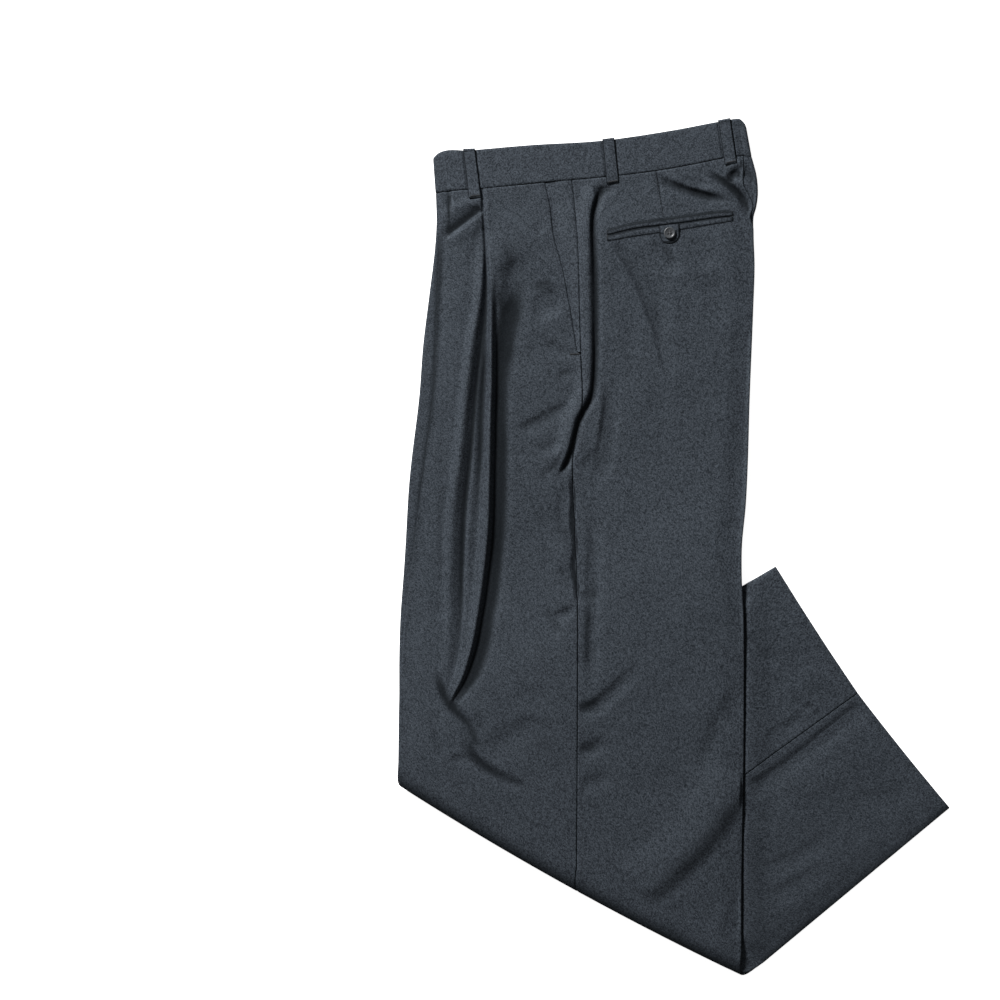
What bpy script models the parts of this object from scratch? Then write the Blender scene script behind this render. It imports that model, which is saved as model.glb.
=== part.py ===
"""Pleated dress trousers, folded on their leg creases and laid flat, left leg up.

The waist is at +Y and the front crease at -X.  Both legs are turned under at the knee
about one slanted fold, so the turned-under legs lie on the floor below the thighs and
come out at the lower right with the right leg's outside up.

Tables are in millimetres: x across, y towards the waist.  h is a height through the pile
of cloth, from the right leg's outer face (0) up to the left leg's outer face.
"""
import math
from collections import namedtuple

import bmesh
import bpy
import numpy as np
from mathutils import Matrix, Vector
from mathutils.bvhtree import BVHTree

MM = 0.001
CENTRE_X = -1.44            # middle of the whole outline, taken off every point
CENTRE_Y = -0.39

# Cloth and pile
WALL = 1.0                # one layer of cloth
GAP = 0.3                 # between pieces that meet
CREASE_GAP = 0.6          # inside a crease, between the cloth and its turned-back arm
BAND_WALL = 1.2           # waistband, cloth and interlining
PILE_EDGE = 5.5           # four layers pressed together at a crease
PILE_WAIST = 5.9          # in the middle of the pile, at the waist
PILE_FULL = 7.4           # in the middle of the thigh
PILE_BAND = 6.4           # four layers of waistband
RISE = 26.0               # width over which the pile grows from a crease
CORE_FOOT = 1.5           # the hidden layers start this far above the right leg's face
CORE_HEAD = 3.3           # and end this far below the left leg's face
CORE_COLUMNS = 5          # stops across the hidden layers from a crease to the seam
ARM = 12.0                # cloth turned back inside a crease
FOLD_ARM = 7.0            # and less of it round the slanted fold and below
FLY_ARM = 30.0            # cloth turned back inside the front at the waist
DEEPEST = -1.5            # no trough goes lower than this
ARM_ROOM = 0.2            # a trough stops this far above the turned-back arm
SeatArm = namedtuple("SeatArm", "shortest end over")
LEFT_SEAT_ARM = SeatArm(1.7, 332.0, 16.0)    # the arm shortens towards the centre-back seam
RIGHT_SEAT_ARM = SeatArm(2.9, 342.0, 30.0)
SEAT_ROLL = (3.5, 8.0, 13.0, 19.0)   # stops beside the left outseam, over the side roll
SEAM_STOPS = (19.0, 10.0, 4.0, 0.0)  # stops before the left front's side seam
SETTLED = (24.0, 34.0, 43.0, 53.0, 64.0, 84.0)   # stops of the front where it has no pleats
FOLD_EASE = 18.0          # folds fade out over this width before the slanted fold

# Slanted fold that turns the legs under
FOLD_FRONT = np.array((-286.3, -250.6))
FOLD_BACK = np.array((72.0, -445.6))
FOLD_SEAM = 214.4         # outseam's place along the fold
FOLD_BOW = 6.4            # the fold bulges this far in the middle
FOLD_REACH = 22.0         # from the fold's outermost line to where the cloth is level
FOLD_DRIFT = 13.4         # cloth moves this far along the fold in each quarter turn
LIFT = PILE_FULL + 1.2    # thighs lie this high over the turned-under legs
RAMP = 58.0               # and come down to the floor over this width

# Turned-under legs: corners of the hem, and the outseam's end on it
HEM_FRONT = np.array((104.8, -22.9))
HEM_SEAM = np.array((193.2, -151.8))
HEM_BACK = np.array((285.7, -273.5))
HEM_BOW = 4.0
SLOT_START = 0.93         # the hidden layers part from here down to the hem

# Edges of the pile, each row (y, x), from the fold up
FRONT_CREASE = (
    (-230.0, -286.6), (-161.2, -285.7), (-83.2, -281.6), (-26.0, -274.8), (46.8, -266.5),
    (98.8, -259.5), (155.0, -252.8), (199.7, -250.6), (253.8, -248.3), (314.1, -246.2),
    (366.1, -248.0))
LOWER_CREASE_OUT = (      # the right leg's crease lies this far outside the left one's
    (-161.0, 0.6), (-119.6, 2.3), (-5.2, 8.2), (98.8, 13.2), (202.8, 11.8), (254.8, 7.8),
    (306.8, 3.5), (340.0, 1.0), (366.1, 0.6))
OUTSEAM = (
    (-358.8, -101.1), (-91.5, -101.1), (-23.9, -102.2), (31.2, -104.3), (83.2, -106.7),
    (118.0, -101.2), (150.8, -96.4), (199.7, -98.3), (244.4, -99.6), (300.6, -101.1),
    (346.3, -104.3), (377.5, -107.7))
BACK_EDGE = (
    (-419.9, 70.7), (-348.4, 68.9), (-240.2, 70.5), (-161.2, 70.8), (-78.0, 70.5),
    (-26.0, 68.4), (0.0, 68.9), (41.6, 73.1), (88.4, 75.7), (150.8, 77.7), (244.4, 81.4),
    (291.2, 82.9), (323.4, 81.9), (342.2, 82.0), (351.5, 84.5), (367.1, 86.3),
    (383.8, 85.0), (403.5, 80.0))
CENTRE_BACK_IN = (        # the left back ends this far inside the back edge
    (330.0, 0.2), (340.0, 3.2), (352.0, 3.4), (375.4, 14.8), (403.5, 9.0))
CENTRE_BACK_END = 346.0   # the centre-back seam goes over the edge here
WAIST_SEAM = (            # rows (x, y)
    (-250.7, 365.7), (-235.1, 367.9), (-201.3, 370.5), (-134.7, 377.3), (-73.2, 382.7),
    (-20.5, 389.0), (15.3, 395.2), (48.6, 402.0), (70.8, 404.6), (80.0, 403.5))
BAND_TOP = (
    (-251.5, 404.5), (-246.0, 409.6), (-213.5, 411.8), (-151.1, 416.0), (-76.2, 420.7),
    (-1.3, 431.6), (48.6, 441.0), (66.0, 443.6), (73.6, 437.5))
BAND_FRONT = -249.5       # the band's front crease and back edge, at the seam
BAND_BACK = 79.8
BAND_CENTRE = 70.8        # centre-back seam of the band
BAND_LEAN_FRONT = -2.6    # the band leans out by this much at its front crease
BAND_LEAN_MORE = -3.6     # and by this much more at its back edge
BAND_COLUMNS = 16
BAND_ROWS = ((0.0, 1.0), (0.5, 1.0), (0.94, 1.0), (1.0, 0.5))   # height share, thickness

POCKET_MOUTH = (          # slanted pocket on the left front, rows (y, x)
    (198.6, -98.9), (201.8, -102.2), (249.2, -110.0), (289.6, -117.8), (323.4, -126.8),
    (352.6, -130.3), (378.1, -135.9))
WELT_TOP = ((-71.0, 327.0), (-41.4, 334.6), (-26.3, 336.9), (12.4, 342.2), (47.3, 346.6),
            (59.5, 346.9))
WELT_SLIT = ((-71.0, 321.4), (-41.4, 328.6), (-17.5, 331.8), (2.8, 334.3), (41.5, 340.0),
             (59.5, 342.0))
WELT_FOOT = ((-71.0, 316.2), (-40.4, 321.4), (4.7, 327.9), (41.4, 334.1), (59.5, 337.2))
WELT_WALL = 0.8
WELT_GAP = 0.7            # open slit between the two lips
WELT_COLUMNS = 15
FACING_UNDER = 12.0       # the facing goes this far under the front
FACING_END = 2.0          # and stops where it is narrower than this
TAB = dict(x=-7.1, width=20.0, top=332.6, length=17.6, straight=9.0, tip=2.2, lean=0.06,
           rise=0.12, wall=0.8)
BUTTON = dict(x=-6.2, y=325.9, radius=5.7, height=2.2, dish=0.6, hole=0.75, spread=1.5)
BUTTON_SIDES = 24
LOOP_WALL = 1.0
LOOP_OVER = 1.7           # the loop's hook stands this far above the band's top
LOOP_ROWS = 8
HIGH = 60.0               # above everything
Loop = namedtuple("Loop", "top_left_x top_right_x foot_left foot_right")
BELT_LOOPS = {            # their tops lie on the band's top
    "front": Loop(-220.6, -208.2, (-214.8, 360.4), (-201.8, 361.4)),
    "side": Loop(-75.8, -63.4, (-71.4, 375.2), (-58.5, 377.2)),
    "back": Loop(44.5, 57.2, (51.3, 395.0), (64.1, 397.6)),
}

# Sections through the front pleats, from the fold up.  Each gives x and the height over
# the plain cloth: the rolled flap, the cleft beside it, the middle ridge, the pleat's
# crest, the valley behind it, and where the cloth is plain again.
Pleat = namedtuple("Pleat", "y roll roll_h cleft cleft_h middle middle_h crest crest_h"
                            " valley valley_h plain plain_h")
PLEATS = (
    Pleat(-225, -262, 0.0, -252, 0.0, -243, 0.0, -234, 0.0, -224, 0.0, -206, 0.0),
    Pleat(-156, -250, 0.3, -241, -0.2, -235.5, 0.1, -230, 0.5, -224, -0.5, -208, 0.0),
    Pleat(-125, -240, 0.8, -231, -0.5, -225, 0.5, -219.5, 1.1, -213, -0.9, -196, 0.0),
    Pleat(-91, -236, 1.3, -227.5, -0.6, -218.2, 0.8, -211.4, 1.6, -203.4, -1.1, -184, 0.0),
    Pleat(-47, -235.3, 1.7, -226, -0.6, -214.5, 1.1, -204.4, 1.9, -197, -1.2, -178, 0.0),
    Pleat(-2, -235.3, 2.0, -225.9, -0.7, -216.6, 1.4, -201, 2.1, -191, -1.2, -174, 0.0),
    Pleat(43, -234.3, 2.2, -222.4, -0.9, -213.5, 1.6, -197.9, 2.3, -187, -1.3, -170, 0.0),
    Pleat(87, -232.5, 2.4, -220.2, -1.1, -212.3, 1.7, -196.8, 2.5, -186.6, -1.4, -172, 0.0),
    Pleat(132, -229.5, 2.7, -217.9, -1.3, -209.5, 1.6, -195.2, 2.6, -186.4, -1.5, -174, 0.0),
    Pleat(166, -227, 2.8, -212.4, -1.5, -206.3, 1.3, -193.5, 2.7, -186.4, -1.5, -172, 0.0),
    Pleat(200, -223, 2.8, -207.8, -1.5, -201.5, 0.9, -192.7, 2.8, -186.4, -1.4, -170, 0.0),
    Pleat(233, -217.5, 2.6, -204.4, -1.5, -198.5, 0.4, -192.7, 2.7, -186, -1.1, -168, 0.0),
    Pleat(267, -210, 2.2, -200, -1.4, -196.8, 0.6, -193, 2.5, -186.5, -0.6, -166, 0.0),
    Pleat(290, -211, 1.6, -198.6, -1.1, -196.3, 0.9, -193.3, 2.3, -184.5, 0.2, -165, 0.1),
    Pleat(312, -218, 0.7, -200, -0.9, -198, 0.9, -194.5, 2.2, -182, 0.7, -160, 0.2),
    Pleat(335, -224, 0.3, -201, -0.8, -199.2, 0.8, -195.7, 2.0, -182, 0.8, -160, 0.2),
    Pleat(370, -224, 0.2, -203, -0.7, -201.2, 0.7, -197.7, 1.6, -184, 0.8, -165, 0.2),
)

# Folds across the plain cloth: height of the ridge or, below 0, depth of the trough, its
# width on the left and the right hand of someone going along it, and its points.
Fold = namedtuple("Fold", "height left right points")
FOLDS = {
    "hollow under the first pleat": Fold(-1.9, 9, 12, (
        (-202.0, 350.0), (-216.0, 341.0), (-231.0, 329.0), (-245.0, 315.0))),
    "side roll": Fold(2.5, 5, 17, (
        (-84.0, 377.0), (-90.0, 348.0), (-94.5, 334.9), (-92.5, 300.6), (-89.6, 244.4),
        (-88.4, 199.7), (-90.6, 160.0), (-99.0, 146.0), (-108.0, 125.8), (-112.5, 98.8),
        (-127.0, 72.0))),
    "side roll's cleft": Fold(-1.2, 5, 3, (
        (-82.0, 377.0), (-85.5, 346.3), (-89.7, 334.9), (-87.6, 300.6), (-85.2, 244.4),
        (-84.1, 199.7), (-86.3, 157.5), (-94.9, 143.0), (-103.2, 125.8), (-107.7, 98.8),
        (-121.2, 73.8))),
    "trough behind the side roll": Fold(-1.3, 9, 8, (
        (-69.9, 172.0), (-69.5, 132.1), (-73.6, 109.2), (-79.2, 72.0))),
    "hollow by the outseam": Fold(-0.8, 8, 5, (
        (-95.3, 46.0), (-92.8, 0.0), (-91.1, -42.6), (-93.1, -122.0))),
    "knee trough": Fold(-1.3, 11, 9, (
        (-249.4, -124.0), (-243.8, -154.5), (-233.6, -170.2), (-220.2, -181.5),
        (-212.4, -195.0), (-206.7, -215.3), (-195.5, -226.5), (-175.2, -237.7),
        (-155.0, -247.0))),
    "seat wrinkle": Fold(-1.3, 7, 10, (
        (-14.0, 381.5), (7.0, 371.5), (30.9, 361.8), (56.0, 356.5))),
    "upper seat wrinkle": Fold(-1.5, 6, 8, (
        (36.0, 385.5), (52.8, 375.4), (64.8, 365.5), (74.6, 347.4))),
    "hollow under the back loop": Fold(-1.5, 7, 7, (
        (54.0, 383.5), (64.0, 388.0), (74.0, 386.0))),
    "fold under the welt": Fold(-1.0, 10, 12, (
        (-70.2, 314.0), (-52.3, 283.9), (-44.4, 254.3), (-30.4, 224.6), (-18.5, 190.5))),
    "back knee trough": Fold(-1.4, 12, 10, (
        (67.3, -243.5), (53.8, -274.6), (37.7, -301.6), (17.4, -324.5), (-10.2, -347.4),
        (-40.0, -364.0))),
    "back knee ridge": Fold(1.1, 12, 14, (
        (52.0, -240.0), (38.0, -272.0), (20.0, -298.0), (-4.0, -320.0), (-34.0, -340.0))),
}

# Rows of the mesh: fractions of the thigh from the waist to the fold, turns round the
# fold in degrees, and fractions of the turned-under leg down to the hem
THIGH_ROWS = (0.0, 0.02, 0.042, 0.063, 0.076, 0.088, 0.108, 0.138, 0.172, 0.21, 0.25,
              0.295, 0.34, 0.385, 0.43, 0.475, 0.52, 0.57, 0.62, 0.67, 0.72, 0.78,
              0.84, 0.9, 0.95, 1.0)
FOLD_ROWS = (30.0, 60.0, 90.0, 120.0, 150.0, 180.0)
SHIN_ROWS = (0.12, 0.3, 0.5, 0.7, 0.84, SLOT_START, 1.0)

WOOL = (0.050, 0.057, 0.066, 1.0)
WOOL_SHADE = (0.036, 0.042, 0.050, 1.0)
HORN = (0.030, 0.033, 0.036, 1.0)

Row = namedtuple("Row", "zone at")
FOLD_SPAN = float(np.linalg.norm(FOLD_BACK - FOLD_FRONT))
FOLD_ALONG = (FOLD_BACK - FOLD_FRONT) / FOLD_SPAN
FOLD_OUT = np.array((FOLD_ALONG[1], -FOLD_ALONG[0]))
PANELS = ("front", "back")


# ---------------------------------------------------------------- curves and heights

def smooth(value):
    """Ease from 0 to 1 as the value goes from 0 to 1."""
    value = np.clip(value, 0.0, 1.0)
    return value * value * (3.0 - 2.0 * value)


def through(table, at):
    """Read a smooth curve through rows (key, value) at one or more keys."""
    keys = np.array([row[0] for row in table], float)
    values = np.array([row[1] for row in table], float)
    steps = np.diff(values) / np.diff(keys)
    slopes = np.concatenate(([steps[0]], 0.5 * (steps[1:] + steps[:-1]), [steps[-1]]))
    turning = np.concatenate(([False], steps[1:] * steps[:-1] <= 0.0, [False]))
    slopes[turning] = 0.0
    at = np.clip(np.asarray(at, float), keys[0], keys[-1])
    i = np.clip(np.searchsorted(keys, at) - 1, 0, len(keys) - 2)
    span = keys[i + 1] - keys[i]
    t = (at - keys[i]) / span
    ease = t * t * (3.0 - 2.0 * t)
    start = t * (1.0 - t) ** 2 * span * slopes[i]
    end = t * t * (t - 1.0) * span * slopes[i + 1]
    return values[i] * (1.0 - ease) + values[i + 1] * ease + start + end


def column(name):
    """One column of the pleat sections as rows (y, value)."""
    return tuple((row.y, getattr(row, name)) for row in PLEATS)


def pleat_height(x, y):
    """Height of the front pleats over the plain cloth."""
    stops = [through(FRONT_CREASE, y)]
    heights = [np.zeros_like(x)]
    for name in ("roll", "cleft", "middle", "crest", "valley", "plain"):
        stops.append(through(column(name), y))
        heights.append(through(column(name + "_h"), y))
    stops.append(through(OUTSEAM, y))
    heights.append(np.zeros_like(x))
    height = np.zeros_like(x)
    for a, b, ha, hb in zip(stops, stops[1:], heights, heights[1:]):
        inside = (x >= a) & (x < b)
        eased = ha + (hb - ha) * smooth((x - a) / np.maximum(b - a, 0.1))
        height = np.where(inside, eased, height)
    return height


def fold_height(x, y, fold):
    """Height of one ridge or trough, which fades towards its two ends."""
    points = np.array(fold.points, float)
    lengths = np.linalg.norm(np.diff(points, axis=0), axis=1)
    total = lengths.sum()
    nearest = np.full(x.shape, 1.0e9)
    side = np.zeros(x.shape)
    fraction = np.zeros(x.shape)
    walked = 0.0
    for start, end, length in zip(points, points[1:], lengths):
        along = (end - start) / length
        dx = x - start[0]
        dy = y - start[1]
        t = np.clip(dx * along[0] + dy * along[1], 0.0, length)
        away_x = dx - t * along[0]
        away_y = dy - t * along[1]
        away = np.hypot(away_x, away_y)
        closer = away < nearest
        nearest = np.where(closer, away, nearest)
        side = np.where(closer, along[0] * dy - along[1] * dx, side)
        fraction = np.where(closer, (walked + t) / total, fraction)
        walked += length
    width = np.where(side > 0.0, fold.left, fold.right)
    across = np.clip(nearest / width, 0.0, 1.0)
    fade = smooth(fraction / 0.18) * smooth((1.0 - fraction) / 0.18)
    return fold.height * (1.0 - across * across) ** 2 * fade


def relief(x, y):
    """Height of every fold over the plain cloth of the left leg."""
    height = pleat_height(x, y)
    for fold in FOLDS.values():
        height = height + fold_height(x, y, fold)
    along, out = fold_place(x, y)
    level = smooth((fold_bow(along) - FOLD_REACH - out) / FOLD_EASE)
    return np.maximum(height, DEEPEST) * level


def fold_place(x, y):
    """Distance along the slanted fold, and out past its straight line."""
    dx = x - FOLD_FRONT[0]
    dy = y - FOLD_FRONT[1]
    along = dx * FOLD_ALONG[0] + dy * FOLD_ALONG[1]
    out = dx * FOLD_OUT[0] + dy * FOLD_OUT[1]
    return along, out


def fold_bow(along):
    """How far the fold bulges past its straight line."""
    return FOLD_BOW * (1.0 - (2.0 * np.clip(along / FOLD_SPAN, 0.0, 1.0) - 1.0) ** 2)


def footing(x, y):
    """Height on which the thighs' pile lies: the floor, or the turned-under legs."""
    edge = (HEM_FRONT - FOLD_FRONT) / np.linalg.norm(HEM_FRONT - FOLD_FRONT)
    outside = (x - FOLD_FRONT[0]) * -edge[1] + (y - FOLD_FRONT[1]) * edge[0]
    over_leg = 1.0 - smooth((outside + 3.0) / RAMP)
    along, out = fold_place(x, y)
    over_fold = 1.0 - smooth((fold_bow(along) - out - FOLD_REACH) / RAMP)
    return LIFT * np.maximum(over_leg, over_fold)


# ---------------------------------------------------------------- rows of the pile

def fold_point(along, out):
    """Point at a place along the fold and out from its straight line."""
    along = np.asarray(along, float)[..., None]
    out = np.asarray(out, float)[..., None]
    return FOLD_FRONT + along * FOLD_ALONG + out * FOLD_OUT


def crease_along(panel):
    """Place along the fold of a panel's crease."""
    return 0.0 if panel == "front" else FOLD_SPAN


def row_ends(row, panel):
    """Crease and outseam points of one row of a panel, flat on the table."""
    along = np.array((crease_along(panel), FOLD_SEAM))
    if row.zone == "thigh":
        edge = FRONT_CREASE if panel == "front" else BACK_EDGE
        level = fold_bow(along) - FOLD_REACH
        ends = fold_point(along - FOLD_DRIFT, level)
        tops = np.array((edge[-1], OUTSEAM[-1]))[:, ::-1]
        points = []
        for top, end, table in zip(tops, ends, (edge, OUTSEAM)):
            y = top[1] + (end[1] - top[1]) * row.at
            last = through(table, end[1])
            x = through(table, y) + (end[0] - last) * row.at ** 3
            points.append((float(x), y))
        return np.array(points)
    hem = HEM_FRONT if panel == "front" else HEM_BACK
    level = fold_bow(along) - FOLD_REACH
    starts = fold_point(along + FOLD_DRIFT, level)
    return starts + (np.array((hem, HEM_SEAM)) - starts) * row.at


def row_width(row, panel):
    """Length of a row from the crease to the outseam."""
    if row.zone == "turn":
        return abs(FOLD_SEAM - crease_along(panel))
    crease, seam = row_ends(row, panel)
    return float(np.linalg.norm(seam - crease))


def row_points(row, panel, w):
    """Flat points at distances w from the crease towards the outseam."""
    w = np.asarray(w, float)
    s = w / row_width(row, panel)
    if row.zone == "turn":
        seam_side = FOLD_SEAM - crease_along(panel)
        along = crease_along(panel) + s * seam_side
        drift = FOLD_DRIFT * (row.at / 90.0 - 1.0)
        return fold_point(along + drift, fold_bow(along) - FOLD_REACH)
    crease, seam = row_ends(row, panel)
    points = crease + s[..., None] * (seam - crease)
    inner = np.clip(s, 0.0, 1.0)
    along = crease_along(panel) + inner * (FOLD_SEAM - crease_along(panel))
    sag = fold_bow(along) - fold_bow(np.array(FOLD_SEAM)) * inner
    if row.zone == "thigh":
        first = row_ends(Row("thigh", 0.0), panel)
        straight = first[0] + inner[..., None] * (first[1] - first[0])
        lift = through(WAIST_SEAM, straight[..., 0]) - straight[..., 1]
        points[..., 1] += lift * (1.0 - row.at) ** 2
        return points + (sag * row.at ** 3)[..., None] * FOLD_OUT
    hem_along = (HEM_BACK - HEM_FRONT) / np.linalg.norm(HEM_BACK - HEM_FRONT)
    inward = np.array((hem_along[1], -hem_along[0]))
    half = inner if panel == "front" else 2.0 - inner
    dip = HEM_BOW * (1.0 - (half - 1.0) ** 2) * row.at ** 3
    points += dip[..., None] * inward
    return points + (sag * (1.0 - row.at) ** 3)[..., None] * FOLD_OUT


def pile(row, w):
    """Height of the whole pile at a distance w from the crease."""
    if row.zone == "thigh":
        middle = PILE_WAIST + (PILE_FULL - PILE_WAIST) * smooth(row.at / 0.10)
    elif row.zone == "turn":
        middle = PILE_FULL
    else:
        middle = PILE_FULL + (PILE_EDGE - PILE_FULL) * smooth((row.at - 0.45) / 0.5)
    return PILE_EDGE + (middle - PILE_EDGE) * smooth((np.asarray(w, float) - 1.2) / RISE)


def placed(row, panel, w, h, total):
    """Points in space of cloth at distances w and heights h in a pile of that total."""
    w = np.asarray(w, float)
    h = np.asarray(h, float)
    flat = row_points(row, panel, w)
    if row.zone == "thigh":
        z = footing(flat[..., 0], flat[..., 1]) + h
    elif row.zone == "turn":
        angle = math.radians(row.at)
        reach = FOLD_REACH - total + h
        flat = flat + (reach * math.sin(angle))[..., None] * FOLD_OUT
        z = 0.5 * (LIFT + total) + (h + 0.5 * (LIFT - total)) * math.cos(angle)
    else:
        z = total - h
    return np.concatenate((flat, z[..., None]), axis=-1)


def all_rows():
    """Every row of the mesh, from the waist round the fold to the hem."""
    rows = [Row("thigh", at) for at in THIGH_ROWS]
    rows += [Row("turn", at) for at in FOLD_ROWS]
    return rows + [Row("shin", at) for at in SHIN_ROWS]


def reach_x(row, panel, table):
    """Distance from the crease at which a row crosses a line given as rows (y, x)."""
    w = 0.5 * row_width(row, panel)
    for _ in range(8):
        here = row_points(row, panel, np.array(w))
        ahead = row_points(row, panel, np.array(w + 1.0))
        w += (through(table, here[1]) - here[0]) / (ahead[0] - here[0])
    return float(w)


# ---------------------------------------------------------------- sections

def lower_crease(row, panel):
    """How far outside the left leg's crease the right leg's crease lies."""
    if row.zone != "thigh" or panel == "back":
        return 0.0
    y = row_ends(row, panel)[0][1]
    return float(through(LOWER_CREASE_OUT, y)) * float(smooth((y + 200.0) / 80.0))


def arm_length(row, panel):
    """Length of cloth turned back inside a crease."""
    if row.zone != "thigh":
        return FOLD_ARM
    if panel == "back" or row.at > 0.6:
        return ARM + (FOLD_ARM - ARM) * float(smooth((row.at - 0.85) / 0.15))
    return ARM + (FLY_ARM - ARM) * float(1.0 - smooth(row.at / 0.3))


def seat_arm(seat, y, length):
    """Arm of a back panel at the height y, shorter near the centre-back seam."""
    return seat.shortest + (length - seat.shortest) * float(smooth((seat.end - y) / seat.over))


def seam_end(row, side, panel):
    """Distance from the crease at which a panel ends at its side seam."""
    end = row_width(row, panel) - 0.5 * GAP
    if side == "left" and panel == "front" and row.zone == "thigh":
        y = row_points(row, panel, np.array(end))[1]
        if y > POCKET_MOUTH[0][0]:
            return min(end, reach_x(row, panel, POCKET_MOUTH))
    return end


def plain_stops(row, side, panel, count):
    """Stops from the pressed edge to the side seam."""
    near = (6.0, 14.0, RISE)
    return np.concatenate((near, np.linspace(RISE, seam_end(row, side, panel), count)[1:]))


def pleat_stops(row):
    """Stops of the left front, which follow the crests and the valleys."""
    end = seam_end(row, "left", "front")
    if row.zone == "thigh":
        guides = [reach_x(row, "front", column(name))
                  for name in ("roll", "cleft", "middle", "crest", "valley", "plain")]
        drape = smooth((row.at - 0.86) / 0.14)
        guides = np.array(guides) * (1.0 - drape) + np.array(SETTLED) * drape
    else:
        guides = np.array(SETTLED)
    roll, cleft, middle, crest, valley, plain = guides
    edge = roll - 9.6 * smooth((roll - 8.0) / 12.0)
    stops = [5.0, edge, roll, 0.5 * (roll + cleft), cleft, middle, crest,
             0.5 * (crest + valley), valley, 0.5 * (valley + plain), plain]
    seam = end - np.array(SEAM_STOPS)
    return np.concatenate((stops, (0.5 * (plain + seam[0]),), seam))


def u_turn(w, h, radius, way):
    """Outer face of cloth turning round a crease: way 1 goes up, -1 goes down."""
    angles = np.radians((45.0, 90.0, 135.0, 180.0))
    ws = w + radius * (1.0 - np.sin(angles))
    hs = h + way * radius * (1.0 - np.cos(angles))
    return ws, hs


def inner_face(w, h, wall, outward):
    """The other face of a wall whose outer face runs through the points (w, h)."""
    dw = np.gradient(w)
    dh = np.gradient(h)
    step_w = np.diff(w)
    step_h = np.diff(h)
    length = np.hypot(step_w, step_h)
    unit_w = step_w / length
    unit_h = step_h / length
    dw[1:-1] = unit_w[1:] + unit_w[:-1]
    dh[1:-1] = unit_h[1:] + unit_h[:-1]
    dw[0], dh[0] = unit_w[0], unit_h[0]
    if abs(unit_w[0]) > 0.5:
        dh[0] = 0.0                 # a side seam is cut square to the table
    dw[-1], dh[-1] = unit_w[-1], unit_h[-1]
    size = np.hypot(dw, dh)
    return w - outward * wall * dh / size, h + outward * wall * dw / size


def left_section(row, panel):
    """Outer face of the left leg on one row, from the side seam round the crease."""
    if panel == "front":
        stops = pleat_stops(row)
    else:
        stops = plain_stops(row, "left", panel, 7)
        roll = stops[-1] - np.array(SEAT_ROLL[::-1])
        stops = np.concatenate((stops[:-1], roll, stops[-1:]))
    radius = WALL + 0.5 * CREASE_GAP
    arm = arm_length(row, panel)
    edge = 0.0
    if panel == "back" and row.zone == "thigh":
        crease_y = row_ends(row, panel)[0][1]
        edge = float(through(CENTRE_BACK_IN, crease_y))
        arm = seat_arm(LEFT_SEAT_ARM, crease_y, arm)
    tail_w, tail_h = u_turn(edge, float(pile(row, edge)), radius, -1.0)
    tail_w = np.append(tail_w, edge + arm)
    tail_h = np.append(tail_h, tail_h[-1])
    first = edge + radius
    stops = np.maximum(stops, first + np.arange(1, len(stops) + 1) * 0.6)
    w = np.concatenate((stops[::-1], (first,)))
    total = pile(row, w)
    h = total.copy()
    if row.zone == "thigh":
        flat = row_points(row, panel, w)
        rise = relief(flat[..., 0], flat[..., 1])
        arm_top = 0.5 * (PILE_EDGE + GAP) + WALL
        room = total - WALL - arm_top - ARM_ROOM
        rise = np.where(w < edge + arm + 8.0, np.maximum(rise, -room), rise)
        rise[-1] = 0.0
        h = h + rise
    w = np.concatenate((w, tail_w))
    total = np.concatenate((total, np.full(len(tail_w), float(pile(row, edge)))))
    return w, np.concatenate((h, tail_h)), total


def right_section(row, panel):
    """Outer face of the right leg on one row, from the side seam round the crease."""
    edge = -lower_crease(row, panel)
    near = np.array((edge + 7.0, 14.0, RISE))
    stops = np.concatenate(
        (near, np.linspace(RISE, row_width(row, panel) - 0.5 * GAP, CORE_COLUMNS)[1:]))
    wrapped = panel == "back" and row.zone == "thigh" and \
        row_ends(row, panel)[0][1] > CENTRE_BACK_END
    radius = 0.5 * PILE_EDGE if wrapped else WALL + 0.5 * CREASE_GAP
    tail_w, tail_h = u_turn(edge, 0.0, radius, 1.0)
    if wrapped:
        inset = float(through(CENTRE_BACK_IN, row_ends(row, panel)[0][1]))
        end = inset - GAP
        tail_w = np.append(tail_w, end)
        tail_h = np.append(tail_h, float(pile(row, end)))
    else:
        length = arm_length(row, panel)
        if panel == "back" and row.zone == "thigh":
            length = seat_arm(RIGHT_SEAT_ARM, row_ends(row, panel)[0][1], length)
        tail_w = np.append(tail_w, edge + length)
        tail_h = np.append(tail_h, tail_h[-1])
    w = np.concatenate((stops[::-1], (edge + radius,), tail_w))
    h = np.concatenate((np.zeros(len(stops) + 1), tail_h))
    total = pile(row, np.maximum(w, 0.0))
    return w, h, total


def leg_panel(side, panel):
    """Outer and inner points of one panel, row by row."""
    outer = []
    inner = []
    for row in all_rows():
        if side == "left":
            w, h, total = left_section(row, panel)
            other_w, other_h = inner_face(w, h, WALL, 1.0)
        else:
            w, h, total = right_section(row, panel)
            other_w, other_h = inner_face(w, h, WALL, -1.0)
        outer.append(placed(row, panel, w, h, total))
        inner.append(placed(row, panel, other_w, other_h, total))
    return np.array(outer), np.array(inner)


# ---------------------------------------------------------------- meshes

def clear_scene():
    """Remove every object of the scene."""
    for item in list(bpy.data.objects):
        bpy.data.objects.remove(item, do_unlink=True)


def material(name, colour, roughness):
    """A Principled material of one colour."""
    made = bpy.data.materials.new(name)
    made.use_nodes = True
    shader = made.node_tree.nodes["Principled BSDF"]
    shader.inputs["Base Color"].default_value = colour
    shader.inputs["Roughness"].default_value = roughness
    shader.inputs["Metallic"].default_value = 0.0
    return made


def add_object(name, mesh, finish):
    """Link a mesh to the scene as a named object."""
    made = bpy.data.objects.new(name, mesh)
    mesh.materials.append(finish)
    bpy.context.scene.collection.objects.link(made)
    return made


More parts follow.
